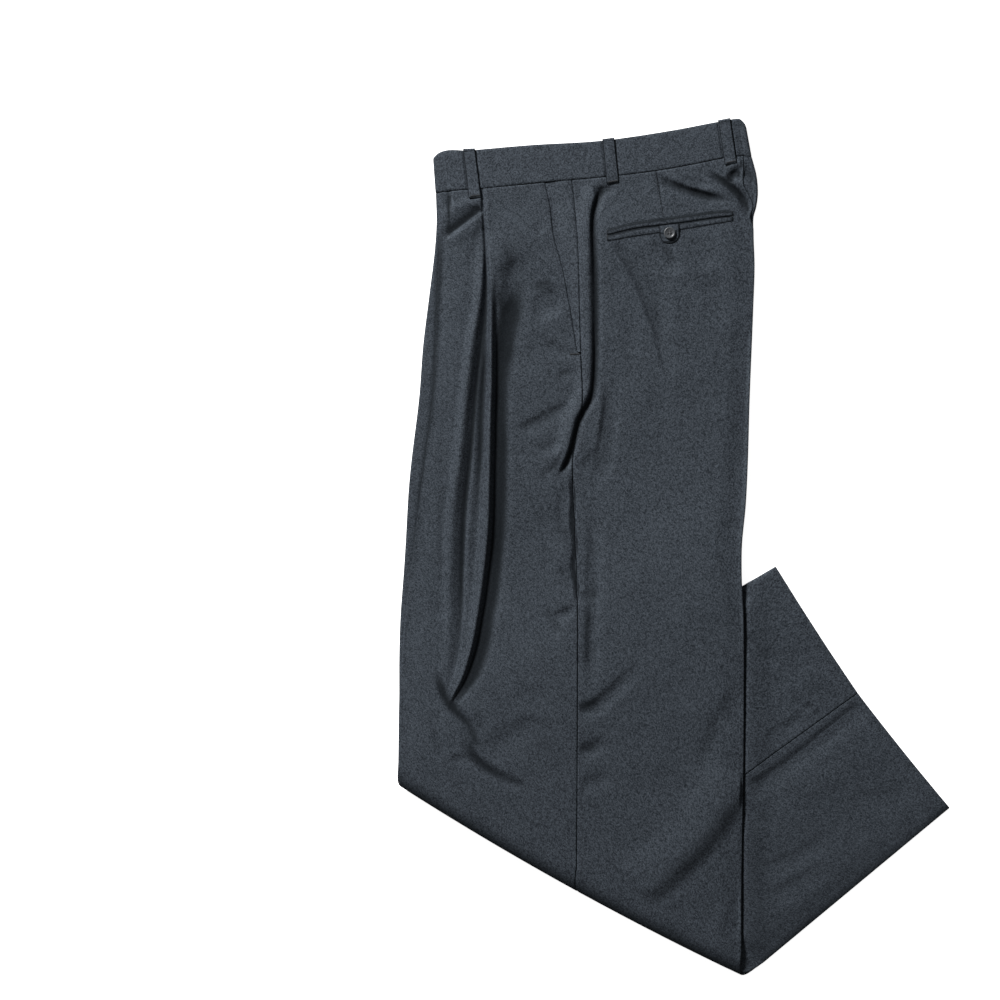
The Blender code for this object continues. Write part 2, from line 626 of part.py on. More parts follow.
def finished(name, shape, finish):
    """Turn a bmesh in millimetres into an object in metres, smooth, faces outwards."""
    bmesh.ops.recalc_face_normals(shape, faces=shape.faces)
    bmesh.ops.translate(shape, verts=shape.verts, vec=(-CENTRE_X, -CENTRE_Y, 0.0))
    bmesh.ops.scale(shape, verts=shape.verts, vec=(MM, MM, MM))
    mesh = bpy.data.meshes.new(name)
    shape.to_mesh(mesh)
    shape.free()
    mesh.shade_smooth()
    mesh.set_sharp_from_angle(angle=math.radians(50.0))
    return add_object(name, mesh, finish)


def grid_faces(shape, grid):
    """Join a grid of vertices with triangles, all with the same diagonal."""
    for low, high in zip(grid, grid[1:]):
        for a, b, c, d in zip(low, low[1:], high[1:], high):
            shape.faces.new((a, b, c))
            shape.faces.new((a, c, d))


def strip_faces(shape, one, two):
    """Close the rim between two edges of the same number of vertices."""
    for a, b, c, d in zip(one, one[1:], two[1:], two):
        shape.faces.new((a, b, c))
        shape.faces.new((a, c, d))


def vertex_grid(shape, points):
    """Vertices at a grid of points."""
    return [[shape.verts.new(point) for point in line] for line in points]


def wall_object(name, outer, inner, finish):
    """A closed wall between two grids of points."""
    shape = bmesh.new()
    top = vertex_grid(shape, outer)
    foot = vertex_grid(shape, inner)
    grid_faces(shape, top)
    grid_faces(shape, foot)
    strip_faces(shape, top[0], foot[0])
    strip_faces(shape, top[-1], foot[-1])
    strip_faces(shape, [line[0] for line in top], [line[0] for line in foot])
    strip_faces(shape, [line[-1] for line in top], [line[-1] for line in foot])
    return finished(name, shape, finish)


def inner_layers(finish):
    """The hidden layers between the legs' outsides, parted into two tongues at the hem."""
    tops = []
    feet = []
    uppers = []
    lowers = []
    for row in all_rows():
        lines = []
        for panel in PANELS:
            width = row_width(row, panel)
            start = arm_length(row, panel) + 1.0
            second = max(RISE, start + 4.0)
            run = np.linspace(second, width, CORE_COLUMNS)
            stops = np.concatenate(((start,), run))
            if panel == "back":
                stops = stops[::-1][1:]
            total = pile(row, stops)
            round_off = 0.35 * (1.0 - smooth((stops - start) / 8.0))
            foot = CORE_FOOT + np.zeros_like(stops)
            head = np.maximum(total - CORE_HEAD, CORE_FOOT + 0.7) - round_off
            middle = 0.5 * (foot + head)
            if row.zone == "shin" and row.at >= SLOT_START:
                foot = WALL + GAP + np.zeros_like(stops)
                head = total - WALL - GAP
                middle = 0.5 * (foot + head)
            levels = (head, foot, middle + 0.5 * GAP, middle - 0.5 * GAP)
            lines.append([placed(row, panel, stops, level, total) for level in levels])
        joined = [np.concatenate((lines[0][k], lines[1][k])) for k in range(4)]
        tops.append(joined[0])
        feet.append(joined[1])
        uppers.append(joined[2])
        lowers.append(joined[3])
    shape = bmesh.new()
    top = vertex_grid(shape, tops)
    foot = vertex_grid(shape, feet)
    upper = vertex_grid(shape, uppers[-2:])
    lower = vertex_grid(shape, lowers[-2:])
    seam = len(top[0]) - len(lines[1][0]) - 1
    for grid in (top, foot, upper, lower):
        grid_faces(shape, [line[seam::-1] for line in grid])
        grid_faces(shape, [line[seam:] for line in grid])
    strip_faces(shape, top[0], foot[0])
    strip_faces(shape, upper[0], lower[0])
    strip_faces(shape, top[-1], upper[-1])
    strip_faces(shape, lower[-1], foot[-1])
    for pick in (0, -1):
        edge = [line[pick] for line in top]
        under = [line[pick] for line in foot]
        tongue = [line[pick] for line in upper]
        second = [line[pick] for line in lower]
        strip_faces(shape, edge[:-2], under[:-2])
        strip_faces(shape, edge[-2:], tongue)
        strip_faces(shape, second, under[-2:])
        ring = (edge[-3], edge[-2], tongue[0], second[0], under[-2], under[-3])
        shape.faces.new(ring)
    return finished("inner_layers", shape, finish)


# ---------------------------------------------------------------- waistband

def band_point(x, v):
    """Flat point of the band whose foot is at x on the seam, at a fraction v of its height."""
    x = np.asarray(x, float)
    seam_y = through(WAIST_SEAM, x) + GAP
    lean = BAND_LEAN_FRONT + BAND_LEAN_MORE * (x - BAND_FRONT) / (BAND_BACK - BAND_FRONT)
    top_y = through(BAND_TOP, x + lean)
    return np.stack((x + lean * v, seam_y + (top_y - seam_y) * v), axis=-1)


def band_stops(back):
    """Places along the band from its back end to its front crease."""
    near = BAND_FRONT + np.array((7.0, 16.0))
    ends = back - np.array((0.0, 4.0, 9.0, 16.0))
    run = np.linspace(ends[-1], near[1], BAND_COLUMNS)
    return np.concatenate((ends[:-1], run, near[:1]))


def band_wall(x, h, way):
    """Outer and inner points of a band whose outer face runs through (x, h)."""
    other_x, other_h = inner_face(x, h, BAND_WALL, way)
    middle = 0.5 * (h + other_h)
    outer = []
    inner = []
    for v, squeeze in BAND_ROWS:
        for target, xs, hs in ((outer, x, h), (inner, other_x, other_h)):
            flat = band_point(xs, v)
            z = middle + (hs - middle) * squeeze
            target.append(np.concatenate((flat, z[:, None]), axis=-1))
    return np.array(outer), np.array(inner)


def left_band():
    """Left half of the waistband: from the centre back round the front crease."""
    radius = BAND_WALL + 0.5 * CREASE_GAP
    tail_x, tail_h = u_turn(BAND_FRONT, PILE_BAND, radius, -1.0)
    flat_x = np.append(band_stops(BAND_CENTRE - 0.5 * GAP), BAND_FRONT + radius)
    x = np.concatenate((flat_x, tail_x, (BAND_FRONT + FLY_ARM,)))
    h = np.concatenate((np.full(len(flat_x), PILE_BAND), tail_h, tail_h[-1:]))
    return band_wall(x, h, 1.0)


def right_band():
    """Right half: from the centre back round the back edge and along the underside."""
    radius = BAND_WALL + 0.5 * CREASE_GAP
    round_back = 0.5 * PILE_BAND
    back_x, back_h = u_turn(0.0, 0.0, round_back, 1.0)
    flat_x = np.append(band_stops(BAND_BACK - round_back), BAND_FRONT + radius)
    tail_x, tail_h = u_turn(BAND_FRONT, 0.0, radius, 1.0)
    x = np.concatenate(((BAND_CENTRE + 0.5 * GAP,), BAND_BACK - back_x[::-1], flat_x,
                        tail_x, (BAND_FRONT + FLY_ARM,)))
    h = np.concatenate((back_h[-1:], back_h[::-1], np.zeros(len(flat_x)), tail_h,
                        tail_h[-1:]))
    return band_wall(x, h, -1.0)


# ---------------------------------------------------------------- pieces on the cloth

def skin(*grids):
    """A surface to lay pieces on, from grids of points."""
    corners = []
    faces = []
    for grid in grids:
        rows, columns = grid.shape[:2]
        first = len(corners)
        corners.extend(grid.reshape(-1, 3).tolist())
        for r in range(rows - 1):
            for c in range(columns - 1):
                a = first + r * columns + c
                faces.append((a, a + 1, a + columns + 1))
                faces.append((a, a + columns + 1, a + columns))
    return BVHTree.FromPolygons(corners, faces)


def skin_height(surface, x, y):
    """Height of the surface's highest point at one place."""
    hit = surface.ray_cast(Vector((x, y, HIGH)), Vector((0.0, 0.0, -1.0)))
    return hit[0].z if hit[0] else 0.0


def highest(surface, x, y, reach):
    """Height of the surface's highest point within a square round one place."""
    steps = (-reach, 0.0, reach)
    return max(skin_height(surface, x + dx, y + dy) for dx in steps for dy in steps)


def pocket_facing():
    """The cloth behind the slanted pocket, from under the front to the outseam."""
    outer = []
    inner = []
    for at in THIGH_ROWS:
        row = Row("thigh", at)
        mouth = seam_end(row, "left", "front")
        seam = row_width(row, "front") - 0.5 * GAP
        if seam - mouth < FACING_END:
            break
        t = np.array((0.0, 0.3, 0.65, 1.0))
        w = np.concatenate(((mouth - FACING_UNDER, mouth - 0.5 * FACING_UNDER),
                            mouth + t * (seam - mouth)))
        ease = np.concatenate(((0.0, 0.0), smooth(t)))
        total = pile(row, w)
        flat = row_points(row, "front", w)
        h = total - (WALL + GAP) * (1.0 - ease) + relief(flat[..., 0], flat[..., 1])
        outer.append(placed(row, "front", w, h, total))
        inner.append(placed(row, "front", w, h - WALL, total))
    return np.array(outer), np.array(inner)


def welt(surface, top, foot, top_gap, foot_gap):
    """One lip of the back pocket, laid between two lines on the left back."""
    across = ((0.0, 0.55), (0.3, 1.0), (0.7, 1.0), (1.0, 0.55))
    outer = []
    inner = []
    for share, rise in across:
        high = []
        low = []
        for x in np.linspace(top[0][0], top[-1][0], WELT_COLUMNS):
            y_top = float(through(top, x)) - top_gap
            y_foot = float(through(foot, x)) + foot_gap
            y = y_top + (y_foot - y_top) * share
            base = highest(surface, x, y, 0.8) + GAP
            low.append((x, y, base))
            high.append((x, y, base + WELT_WALL * rise))
        outer.append(high)
        inner.append(low)
    return np.array(outer), np.array(inner)


def pocket_tab(surface):
    """The tab that comes out of the slit, with a rounded point."""
    outer = []
    inner = []
    half = 0.5 * TAB["width"]
    straight = TAB["straight"]
    for v in (0.0, 2.5, 5.0, 7.5, straight, 11.5, 13.8, 15.6, 16.9, TAB["length"]):
        bend = max(0.0, v - straight) / (TAB["length"] - straight)
        reach = TAB["tip"] + (half - TAB["tip"]) * math.sqrt(1.0 - bend * bend)
        high = []
        low = []
        for u in (-1.0, -0.5, 0.0, 0.5, 1.0):
            x = TAB["x"] + u * reach + TAB["lean"] * v
            y = TAB["top"] - v + TAB["rise"] * u * reach
            base = highest(surface, x, y, 1.4) + GAP
            low.append((x, y, base))
            high.append((x, y, base + TAB["wall"]))
        outer.append(high)
        inner.append(low)
    return np.array(outer), np.array(inner)


def belt_loop(surface, loop):
    """One belt loop, hooked over the band's top and tacked below the seam."""
    top_left, top_right = (np.array((x, float(through(BAND_TOP, x))))
                           for x in (loop.top_left_x, loop.top_right_x))
    foot_left, foot_right = np.array(loop.foot_left), np.array(loop.foot_right)
    length = float(np.linalg.norm(0.5 * (foot_left + foot_right - top_left - top_right)))
    hook = ((-LOOP_OVER, PILE_BAND - 2.2), (-LOOP_OVER, PILE_BAND + 0.4),
            (-0.45 * LOOP_OVER, PILE_BAND + LOOP_WALL + 0.2))
    along = np.linspace(1.0, length, LOOP_ROWS)
    lines = []
    for u in (0.0, 0.5, 1.0):
        top = top_left + (top_right - top_left) * u
        foot = foot_left + (foot_right - foot_left) * u
        down = (foot - top) / np.linalg.norm(foot - top)
        lines.append((top, down))
    heights = []
    for v in along:
        places = [top + down * v for top, down in lines]
        heights.append(max(highest(surface, place[0], place[1], 1.2) for place in places))
    v = np.array([point[0] for point in hook] + list(along))
    h = np.array([point[1] for point in hook]
                 + [height + GAP + LOOP_WALL for height in heights])
    other_v, other_h = inner_face(v, h, LOOP_WALL, -1.0)
    outer = []
    inner = []
    for top, down in lines:
        outer.append([(*(top + down * a), b) for a, b in zip(v, h)])
        inner.append([(*(top + down * a), b) for a, b in zip(other_v, other_h)])
    return np.array(outer), np.array(inner)


def button(surface, finish):
    """The pocket's button: a dished disc with four holes."""
    x, y = BUTTON["x"], BUTTON["y"]
    radius = BUTTON["radius"]
    height = BUTTON["height"]
    base = highest(surface, x, y, 0.7 * radius) + GAP
    profile = ((0.0, 0.0), (0.80 * radius, 0.0), (radius, 0.35 * height),
               (radius, 0.7 * height), (0.9 * radius, height), (0.74 * radius, height),
               (0.62 * radius, height - BUTTON["dish"]), (0.0, height - BUTTON["dish"]))
    shape = bmesh.new()
    points = [shape.verts.new((x + r, y, base + z)) for r, z in profile]
    edges = [shape.edges.new(pair) for pair in zip(points, points[1:])]
    bmesh.ops.spin(shape, geom=points + edges, cent=(x, y, 0.0), axis=(0.0, 0.0, 1.0),
                   angle=math.tau, steps=BUTTON_SIDES, use_merge=True)
    bmesh.ops.remove_doubles(shape, verts=shape.verts, dist=1.0e-3)
    disc = finished("pocket_button", shape, finish)
    drills = bmesh.new()
    for sx in (-0.5, 0.5):
        for sy in (-0.5, 0.5):
            place = Matrix.Translation((x + sx * BUTTON["spread"] * 2.0,
                                        y + sy * BUTTON["spread"] * 2.0, base + 1.0))
            bmesh.ops.create_cone(drills, cap_ends=True, segments=8,
                                  radius1=BUTTON["hole"], radius2=BUTTON["hole"],
                                  depth=3.0 * height, matrix=place)
    cutter = finished("button_holes", drills, finish)
    cutter.hide_render = True
    cutter.display_type = "WIRE"
    holes = disc.modifiers.new("holes", "BOOLEAN")
    holes.operation = "DIFFERENCE"
    holes.object = cutter
    return disc


def main():
    """Build every piece."""
    clear_scene()
    wool = material("wool", WOOL, 0.85)
    shade = material("wool_shade", WOOL_SHADE, 0.9)
    horn = material("horn", HORN, 0.35)
    faces = {}
    for leg in ("left", "right"):
        for part in PANELS:
            outer, inner = leg_panel(leg, part)
            wall_object(f"{leg}_{part}", outer, inner, wool)
            faces[f"{leg}_{part}"] = outer
    inner_layers(shade)
    outer, inner = pocket_facing()
    wall_object("pocket_facing", outer, inner, wool)
    faces["pocket_facing"] = outer
    for name, made in (("waistband_left", left_band()), ("waistband_right", right_band())):
        wall_object(name, made[0], made[1], wool)
        faces[name] = made[0]
    back = skin(faces["left_back"])
    upper = welt(back, WELT_TOP, WELT_SLIT, 0.0, 0.5 * WELT_GAP)
    lower = welt(back, WELT_SLIT, WELT_FOOT, 0.5 * WELT_GAP, 0.0)
    wall_object("welt_upper", upper[0], upper[1], wool)
    wall_object("welt_lower", lower[0], lower[1], wool)
    tab = pocket_tab(skin(faces["left_back"], lower[0]))
    wall_object("pocket_tab", tab[0], tab[1], wool)
    button(skin(tab[0]), horn)
    waist = skin(faces["left_back"], faces["left_front"], faces["waistband_left"],
                 faces["waistband_right"], faces["pocket_facing"], faces["right_back"])
    for name, loop in BELT_LOOPS.items():
        outer, inner = belt_loop(waist, loop)
        wall_object(f"belt_loop_{name}", outer, inner, wool)


if __name__ == "__main__":
    main()
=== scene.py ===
"""Looks of a pair of pleated dress trousers, folded on the creases and laid flat, left leg up.

Tables are in millimetres: x across, y towards the waist.  The pleats and strokes alone are
placed on a drawing grid, by column and row, which on_table turns into millimetres.  h is a
height through the pile of cloth, from the right leg's outer face up to the left leg's outer
face.  A piece is brought to the frame's origin, in metres, when its mesh is made.
"""

import logging
import math
from dataclasses import dataclass
from enum import Enum

import bmesh
import bpy
import numpy as np
from mathutils import Matrix, Vector
from mathutils.bvhtree import BVHTree


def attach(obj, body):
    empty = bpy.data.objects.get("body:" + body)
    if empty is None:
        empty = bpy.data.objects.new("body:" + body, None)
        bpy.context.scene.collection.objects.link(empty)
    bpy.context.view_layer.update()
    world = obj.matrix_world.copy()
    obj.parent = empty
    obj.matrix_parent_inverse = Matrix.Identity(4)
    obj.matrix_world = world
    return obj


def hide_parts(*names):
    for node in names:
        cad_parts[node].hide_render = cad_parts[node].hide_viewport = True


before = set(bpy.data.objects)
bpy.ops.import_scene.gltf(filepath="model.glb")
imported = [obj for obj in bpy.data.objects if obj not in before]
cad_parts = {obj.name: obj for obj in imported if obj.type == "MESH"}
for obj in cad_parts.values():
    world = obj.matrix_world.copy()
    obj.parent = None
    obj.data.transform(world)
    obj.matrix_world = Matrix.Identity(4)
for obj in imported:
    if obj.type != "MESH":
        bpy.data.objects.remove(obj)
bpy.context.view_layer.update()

LOG = logging.getLogger("trousers")
BODY = "root"
UV_NAME = "cloth"
# attribute that carries painted shade: how much a point's colour is darkened in troughs and along
# edges
PAINTED_SHADE = "painted_shade"
MM = 0.001
CENTRE = np.array((-1.44, -0.39, 0.0))    # middle of the whole outline
GRID_STEP = 1.04                          # the drawing grid's step; its rows count downwards
GRID_CENTRE = (675.25, 545.0)             # column and row at which x and y are 0
SLOPE_PLACE = 0.38                        # a trough's dark slope, as a share of its width
KEY_PLACE = (-2.495, 3.310, 2.796)        # where the light stands, in metres
SKY = 60.0                                # a height above everything
SHARP_ANGLE = 42.0                        # degrees from which a solid edge stays sharp

Rows = tuple[tuple[float, ...], ...]
Colour = tuple[float, float, float, float]


class Leg(Enum):
    """The wearer's legs."""

    LEFT = "left"
    RIGHT = "right"


class Panel(Enum):
    """The two panels of a leg."""

    FRONT = "front"
    BACK = "back"


class Zone(Enum):
    """Stretches of a leg from the waist down."""

    THIGH = "thigh"
    TURN = "turn"
    SHIN = "shin"


@dataclass(frozen=True)
class Row:
    """One line across a panel: at is a fraction of the stretch, or degrees round the fold."""

    zone: Zone
    at: float


# ---------------------------------------------------------------- curves


def smooth(value: np.ndarray | float) -> np.ndarray:
    """Ease from 0 to 1.

    Args:
        value: numbers, of which those from 0 to 1 are eased.

    Returns:
        The eased numbers.
    """
    value = np.clip(value, 0.0, 1.0)
    return value * value * (3.0 - 2.0 * value)


def through(table: Rows, at: np.ndarray | float) -> np.ndarray:
    """Read a smooth curve through rows (key, value).

    Args:
        table: rows in the order of their keys.
        at: the keys to read at.

    Returns:
        The curve's values there.
    """
    keys = np.array([row[0] for row in table], float)
    values = np.array([row[1] for row in table], float)
    steps = np.diff(values) / np.diff(keys)
    slopes = np.concatenate(([steps[0]], 0.5 * (steps[1:] + steps[:-1]), [steps[-1]]))
    turning = np.concatenate(([False], steps[1:] * steps[:-1] <= 0.0, [False]))
    slopes[turning] = 0.0
    at = np.clip(np.asarray(at, float), keys[0], keys[-1])
    i = np.clip(np.searchsorted(keys, at) - 1, 0, len(keys) - 2)
    span = keys[i + 1] - keys[i]
    t = (at - keys[i]) / span
    ease = t * t * (3.0 - 2.0 * t)
    start = t * (1.0 - t) ** 2 * span * slopes[i]
    end = t * t * (t - 1.0) * span * slopes[i + 1]
    return values[i] * (1.0 - ease) + values[i + 1] * ease + start + end


def spread(knots: np.ndarray, counts: tuple[int, ...]) -> np.ndarray:
    """Fill each gap between knots with evenly spaced stops.

    Args:
        knots: rising numbers.
        counts: how many steps each gap gets.

    Returns:
        All stops, the knots among them.
    """
    parts = [np.linspace(a, b, count, endpoint=False)
             for a, b, count in zip(knots, knots[1:], counts)]
    return np.concatenate((*parts, knots[-1:]))


def rounded(points: np.ndarray, steps: int = 4) -> np.ndarray:
    """Round the corners of a line of points.

    Args:
        points: the line's points, which stay on it.
        steps: how many pieces each stretch gets.

    Returns:
        The rounded line's points.
    """
    ends = np.concatenate((2.0 * points[:1] - points[1:2], points,
                           2.0 * points[-1:] - points[-2:-1]))
    t = np.linspace(0.0, 1.0, steps, endpoint=False)[:, None]
    parts = []
    for a, b, c, d in zip(ends, ends[1:], ends[2:], ends[3:]):
        parts.append(b + 0.5 * t * (c - a + t * (2.0 * a - 5.0 * b + 4.0 * c - d
                                                 + t * (3.0 * (b - c) + d - a))))
    return np.concatenate((*parts, points[-1:]))


def u_turn(w: float, h: float, radius: float, way: float) -> tuple[np.ndarray, np.ndarray]:
    """Outer face of cloth that turns round a crease.

    Args:
        w: place of the crease's outermost point.
        h: height at which the turn starts.
        radius: radius of the turn.
        way: 1 to turn up, -1 to turn down.

    Returns:
        Distances w and heights h along the turn, without its first point.
    """
    angles = np.radians(np.linspace(22.5, 180.0, 8))
    return w + radius * (1.0 - np.sin(angles)), h + way * radius * (1.0 - np.cos(angles))


# ---------------------------------------------------------------- how the trousers lie


@dataclass(frozen=True)
class Lay:
    """Flat outline of the folded trousers, the height of their pile, and the knee's fold."""

    top_seam: float = 0.0016
    seat: float = 0.125
    seam_gap: float = 0.5
    cloth: float = 0.6
    wall: float = 1.0
    gap: float = 0.3
    crease_gap: float = 0.6
    pile_edge: float = 5.5
    pile_waist: float = 5.9
    pile_full: float = 7.4
    rise: float = 26.0
    rise_from: float = 1.2
    waist_ease: float = 0.10
    thin_from: float = 0.45
    thin_over: float = 0.5
    fold_front: tuple[float, float] = (-286.3, -250.6)
    fold_back: tuple[float, float] = (69.4, -447.4)
    fold_seam: float = 214.4
    bow: float = 6.4
    reach: float = 22.0
    drift: float = 13.4
    lift_over: float = 1.2
    ramp: float = 165.0
    leg_clear: float = 3.0
    hem_front: tuple[float, float] = (104.8, -22.9)
    hem_seam: tuple[float, float] = (193.2, -151.8)
    hem_back: tuple[float, float] = (285.7, -273.5)
    hem_bow: float = 4.0
    front_crease: Rows = (
        (-230.0, -286.6), (-161.2, -285.7), (-83.2, -281.6), (-26.0, -274.8), (46.8, -266.5),
        (98.8, -259.5), (155.0, -252.8), (199.7, -250.6), (253.8, -248.3), (314.1, -246.2),
        (366.1, -248.0))
    outseam: Rows = (
        (-358.8, -101.1), (-91.5, -101.1), (-23.9, -102.2), (31.2, -104.3), (83.2, -106.7),
        (118.0, -101.2), (150.8, -96.4), (199.7, -98.3), (244.4, -99.6), (300.6, -101.1),
        (346.3, -104.3), (377.5, -107.7))
    back_edge: Rows = (
        (-419.9, 67.0), (-348.4, 67.4), (-240.2, 69.6), (-161.2, 70.6), (-78.0, 70.5),
        (-26.0, 68.4), (0.0, 68.9), (41.6, 73.1), (88.4, 75.7), (150.8, 77.7), (244.4, 81.4),
        (291.2, 82.9), (323.4, 81.9), (342.2, 82.0), (351.5, 84.5), (367.1, 86.3),
        (383.8, 85.0), (403.5, 80.0))
    waist_seam: Rows = (
        (-250.7, 365.7), (-235.1, 367.9), (-201.3, 370.5), (-134.7, 377.3), (-73.2, 382.7),
        (-20.5, 389.0), (15.3, 395.2), (48.6, 402.0), (70.8, 404.6), (80.0, 403.5))

    @property
    def fold_span(self) -> float:
        """Length of the slanted fold."""
        return math.dist(self.fold_front, self.fold_back)

    @property
    def fold_along(self) -> np.ndarray:
        """Direction along the slanted fold, from the front crease to the back edge."""
        return (np.array(self.fold_back) - self.fold_front) / self.fold_span

    @property
    def fold_out(self) -> np.ndarray:
        """Direction out of the slanted fold, away from the waist."""
        along = self.fold_along
        return np.array((along[1], -along[0]))

    @property
    def lift(self) -> float:
        """Height of the thighs over the floor where they lie on the turned-under legs."""
        return self.pile_full + self.lift_over

    @property
    def crease_radius(self) -> float:
        """Outer radius of the cloth round a crease."""
        return self.wall + 0.5 * self.crease_gap

    def fold_place(self, x: np.ndarray, y: np.ndarray) -> tuple[np.ndarray, np.ndarray]:
        """Where points are from the slanted fold.

        Args:
            x: places across.
            y: places towards the waist.

        Returns:
            Distances along the fold, and out past its straight line.
        """
        dx = x - self.fold_front[0]
        dy = y - self.fold_front[1]
        along, out = self.fold_along, self.fold_out
        return dx * along[0] + dy * along[1], dx * out[0] + dy * out[1]

    def fold_bow(self, along: np.ndarray | float) -> np.ndarray:
        """How far the fold bulges past its straight line at distances along it."""
        half = 2.0 * np.clip(np.asarray(along, float) / self.fold_span, 0.0, 1.0) - 1.0
        return self.bow * (1.0 - half * half)

    def fold_point(self, along: np.ndarray, out: np.ndarray) -> np.ndarray:
        """Points at distances along the fold and out from its straight line.

        Args:
            along: distances along the fold.
            out: distances out from its straight line.

        Returns:
            Points (x, y).
        """
        along = np.asarray(along, float)[..., None]
        out = np.asarray(out, float)[..., None]
        return self.fold_front + along * self.fold_along + out * self.fold_out

    def footing(self, x: np.ndarray, y: np.ndarray) -> np.ndarray:
        """Height on which the thighs lie.

        Args:
            x: places across.
            y: places towards the waist.

        Returns:
            0 on the floor, up to the lift on the turned-under legs.
        """
        edge = np.array(self.hem_front) - self.fold_front
        edge = edge / np.linalg.norm(edge)
        outside = (x - self.fold_front[0]) * -edge[1] + (y - self.fold_front[1]) * edge[0]
        over_leg = 1.0 - smooth((outside + self.leg_clear) / self.ramp)
        along, out = self.fold_place(x, y)
        over_fold = 1.0 - smooth((self.fold_bow(along) - out - self.reach) / self.ramp)
        return self.lift * np.maximum(over_leg, over_fold)

    def crease_along(self, panel: Panel) -> float:
        """Place along the fold of a panel's crease."""
        return 0.0 if panel is Panel.FRONT else self.fold_span

    def row_ends(self, row: Row, panel: Panel) -> np.ndarray:
        """Crease and outseam points of one row, flat on the table.

        Args:
            row: the row.
            panel: the panel.

        Returns:
            Two points.
        """
        along = np.array((self.crease_along(panel), self.fold_seam))
        level = self.fold_bow(along) - self.reach
        if row.zone is Zone.THIGH:
            edge = self.front_crease if panel is Panel.FRONT else self.back_edge
            ends = self.fold_point(along - self.drift, level)
            points = []
            for table, end in zip((edge, self.outseam), ends):
                top_y, top_x = table[-1]
                y = top_y + (end[1] - top_y) * row.at
                x = through(table, y) + (end[0] - through(table, end[1])) * row.at ** 3
                points.append((float(x), y))
            return np.array(points)
        hem = self.hem_front if panel is Panel.FRONT else self.hem_back
        starts = self.fold_point(along + self.drift, level)
        return starts + (np.array((hem, self.hem_seam)) - starts) * row.at

    def row_width(self, row: Row, panel: Panel) -> float:
        """Length of a row from the crease to the outseam.

        Args:
            row: the row.
            panel: the panel.

        Returns:
            The length.
        """
        if row.zone is Zone.TURN:
            return abs(self.fold_seam - self.crease_along(panel))
        crease, seam = self.row_ends(row, panel)
        return math.dist(crease, seam)

    def row_points(self, row: Row, panel: Panel, w: np.ndarray) -> np.ndarray:
        """Flat points of one row.

        Args:
            row: the row.
            panel: the panel.
            w: distances from the crease towards the outseam.

        Returns:
            Points (x, y).
        """
        w = np.asarray(w, float)
        s = w / self.row_width(row, panel)
        crease_side = self.crease_along(panel)
        if row.zone is Zone.TURN:
            along = crease_side + s * (self.fold_seam - crease_side)
            drift = self.drift * (row.at / 90.0 - 1.0)
            return self.fold_point(along + drift, self.fold_bow(along) - self.reach)
        crease, seam = self.row_ends(row, panel)
        points = crease + s[..., None] * (seam - crease)
        inner = np.clip(s, 0.0, 1.0)
        along = crease_side + inner * (self.fold_seam - crease_side)
        sag = self.fold_bow(along) - self.fold_bow(self.fold_seam) * inner
        if row.zone is Zone.THIGH:
            first = self.row_ends(Row(Zone.THIGH, 0.0), panel)
            straight = first[0] + inner[..., None] * (first[1] - first[0])
            lift = through(self.waist_seam, straight[..., 0]) - straight[..., 1]
            points[..., 1] += lift * (1.0 - row.at) ** 2
            return points + (sag * row.at ** 3)[..., None] * self.fold_out
        hem_along = np.array(self.hem_back) - self.hem_front
        hem_along = hem_along / np.linalg.norm(hem_along)
        inward = np.array((hem_along[1], -hem_along[0]))
        half = inner if panel is Panel.FRONT else 2.0 - inner
        dip = self.hem_bow * (1.0 - (half - 1.0) ** 2) * row.at ** 3
        points += dip[..., None] * inward
        return points + (sag * (1.0 - row.at) ** 3)[..., None] * self.fold_out

    def pile(self, row: Row, w: np.ndarray | float) -> np.ndarray:
        """Height of the whole pile at distances w from the crease.

        Args:
            row: the row.
            w: distances from the crease.

        Returns:
            Heights, lowest at the crease, the waist and the hem.
        """
        if row.zone is Zone.THIGH:
            grown = smooth(row.at / self.waist_ease)
            middle = self.pile_waist + (self.pile_full - self.pile_waist) * grown
        elif row.zone is Zone.TURN:
            middle = self.pile_full
        else:
            thin = smooth((row.at - self.thin_from) / self.thin_over)
            middle = self.pile_full + (self.pile_edge - self.pile_full) * thin
        grown = smooth((np.asarray(w, float) - self.rise_from) / self.rise)
        return self.pile_edge + (middle - self.pile_edge) * grown

    def placed(self, row: Row, panel: Panel, w: np.ndarray, h: np.ndarray,
               total: np.ndarray) -> np.ndarray:
        """Points in space of cloth in the pile.

        Args:
            row: the row.
            panel: the panel.
            w: distances from the crease.
            h: heights through the pile.
            total: the pile's whole height at each point.

        Returns:
            Points (x, y, z).
        """
        flat = self.row_points(row, panel, w)
        if row.zone is Zone.THIGH:
            z = self.footing(flat[..., 0], flat[..., 1]) + h
        elif row.zone is Zone.TURN:
            angle = math.radians(row.at)
            reach = self.reach - total + h
            flat = flat + (reach * math.sin(angle))[..., None] * self.fold_out
            z = 0.5 * (self.lift + total) + (h + 0.5 * (self.lift - total)) * math.cos(angle)
        else:
            z = total - h
        return np.concatenate((flat, z[..., None]), axis=-1)

    def reach_x(self, row: Row, panel: Panel, table: Rows) -> float:
        """Distance from the crease at which a row crosses a line.

        Args:
            row: the row.
            panel: the panel.
            table: the line, as rows (y, x).

        Returns:
            The distance, found in a few steps.
        """
        w = 0.5 * self.row_width(row, panel)
        for _ in range(6):
            here, ahead = self.row_points(row, panel, np.array((w, w + 1.0)))
            w += float((through(table, here[1]) - here[0]) / (ahead[0] - here[0]))
        return w

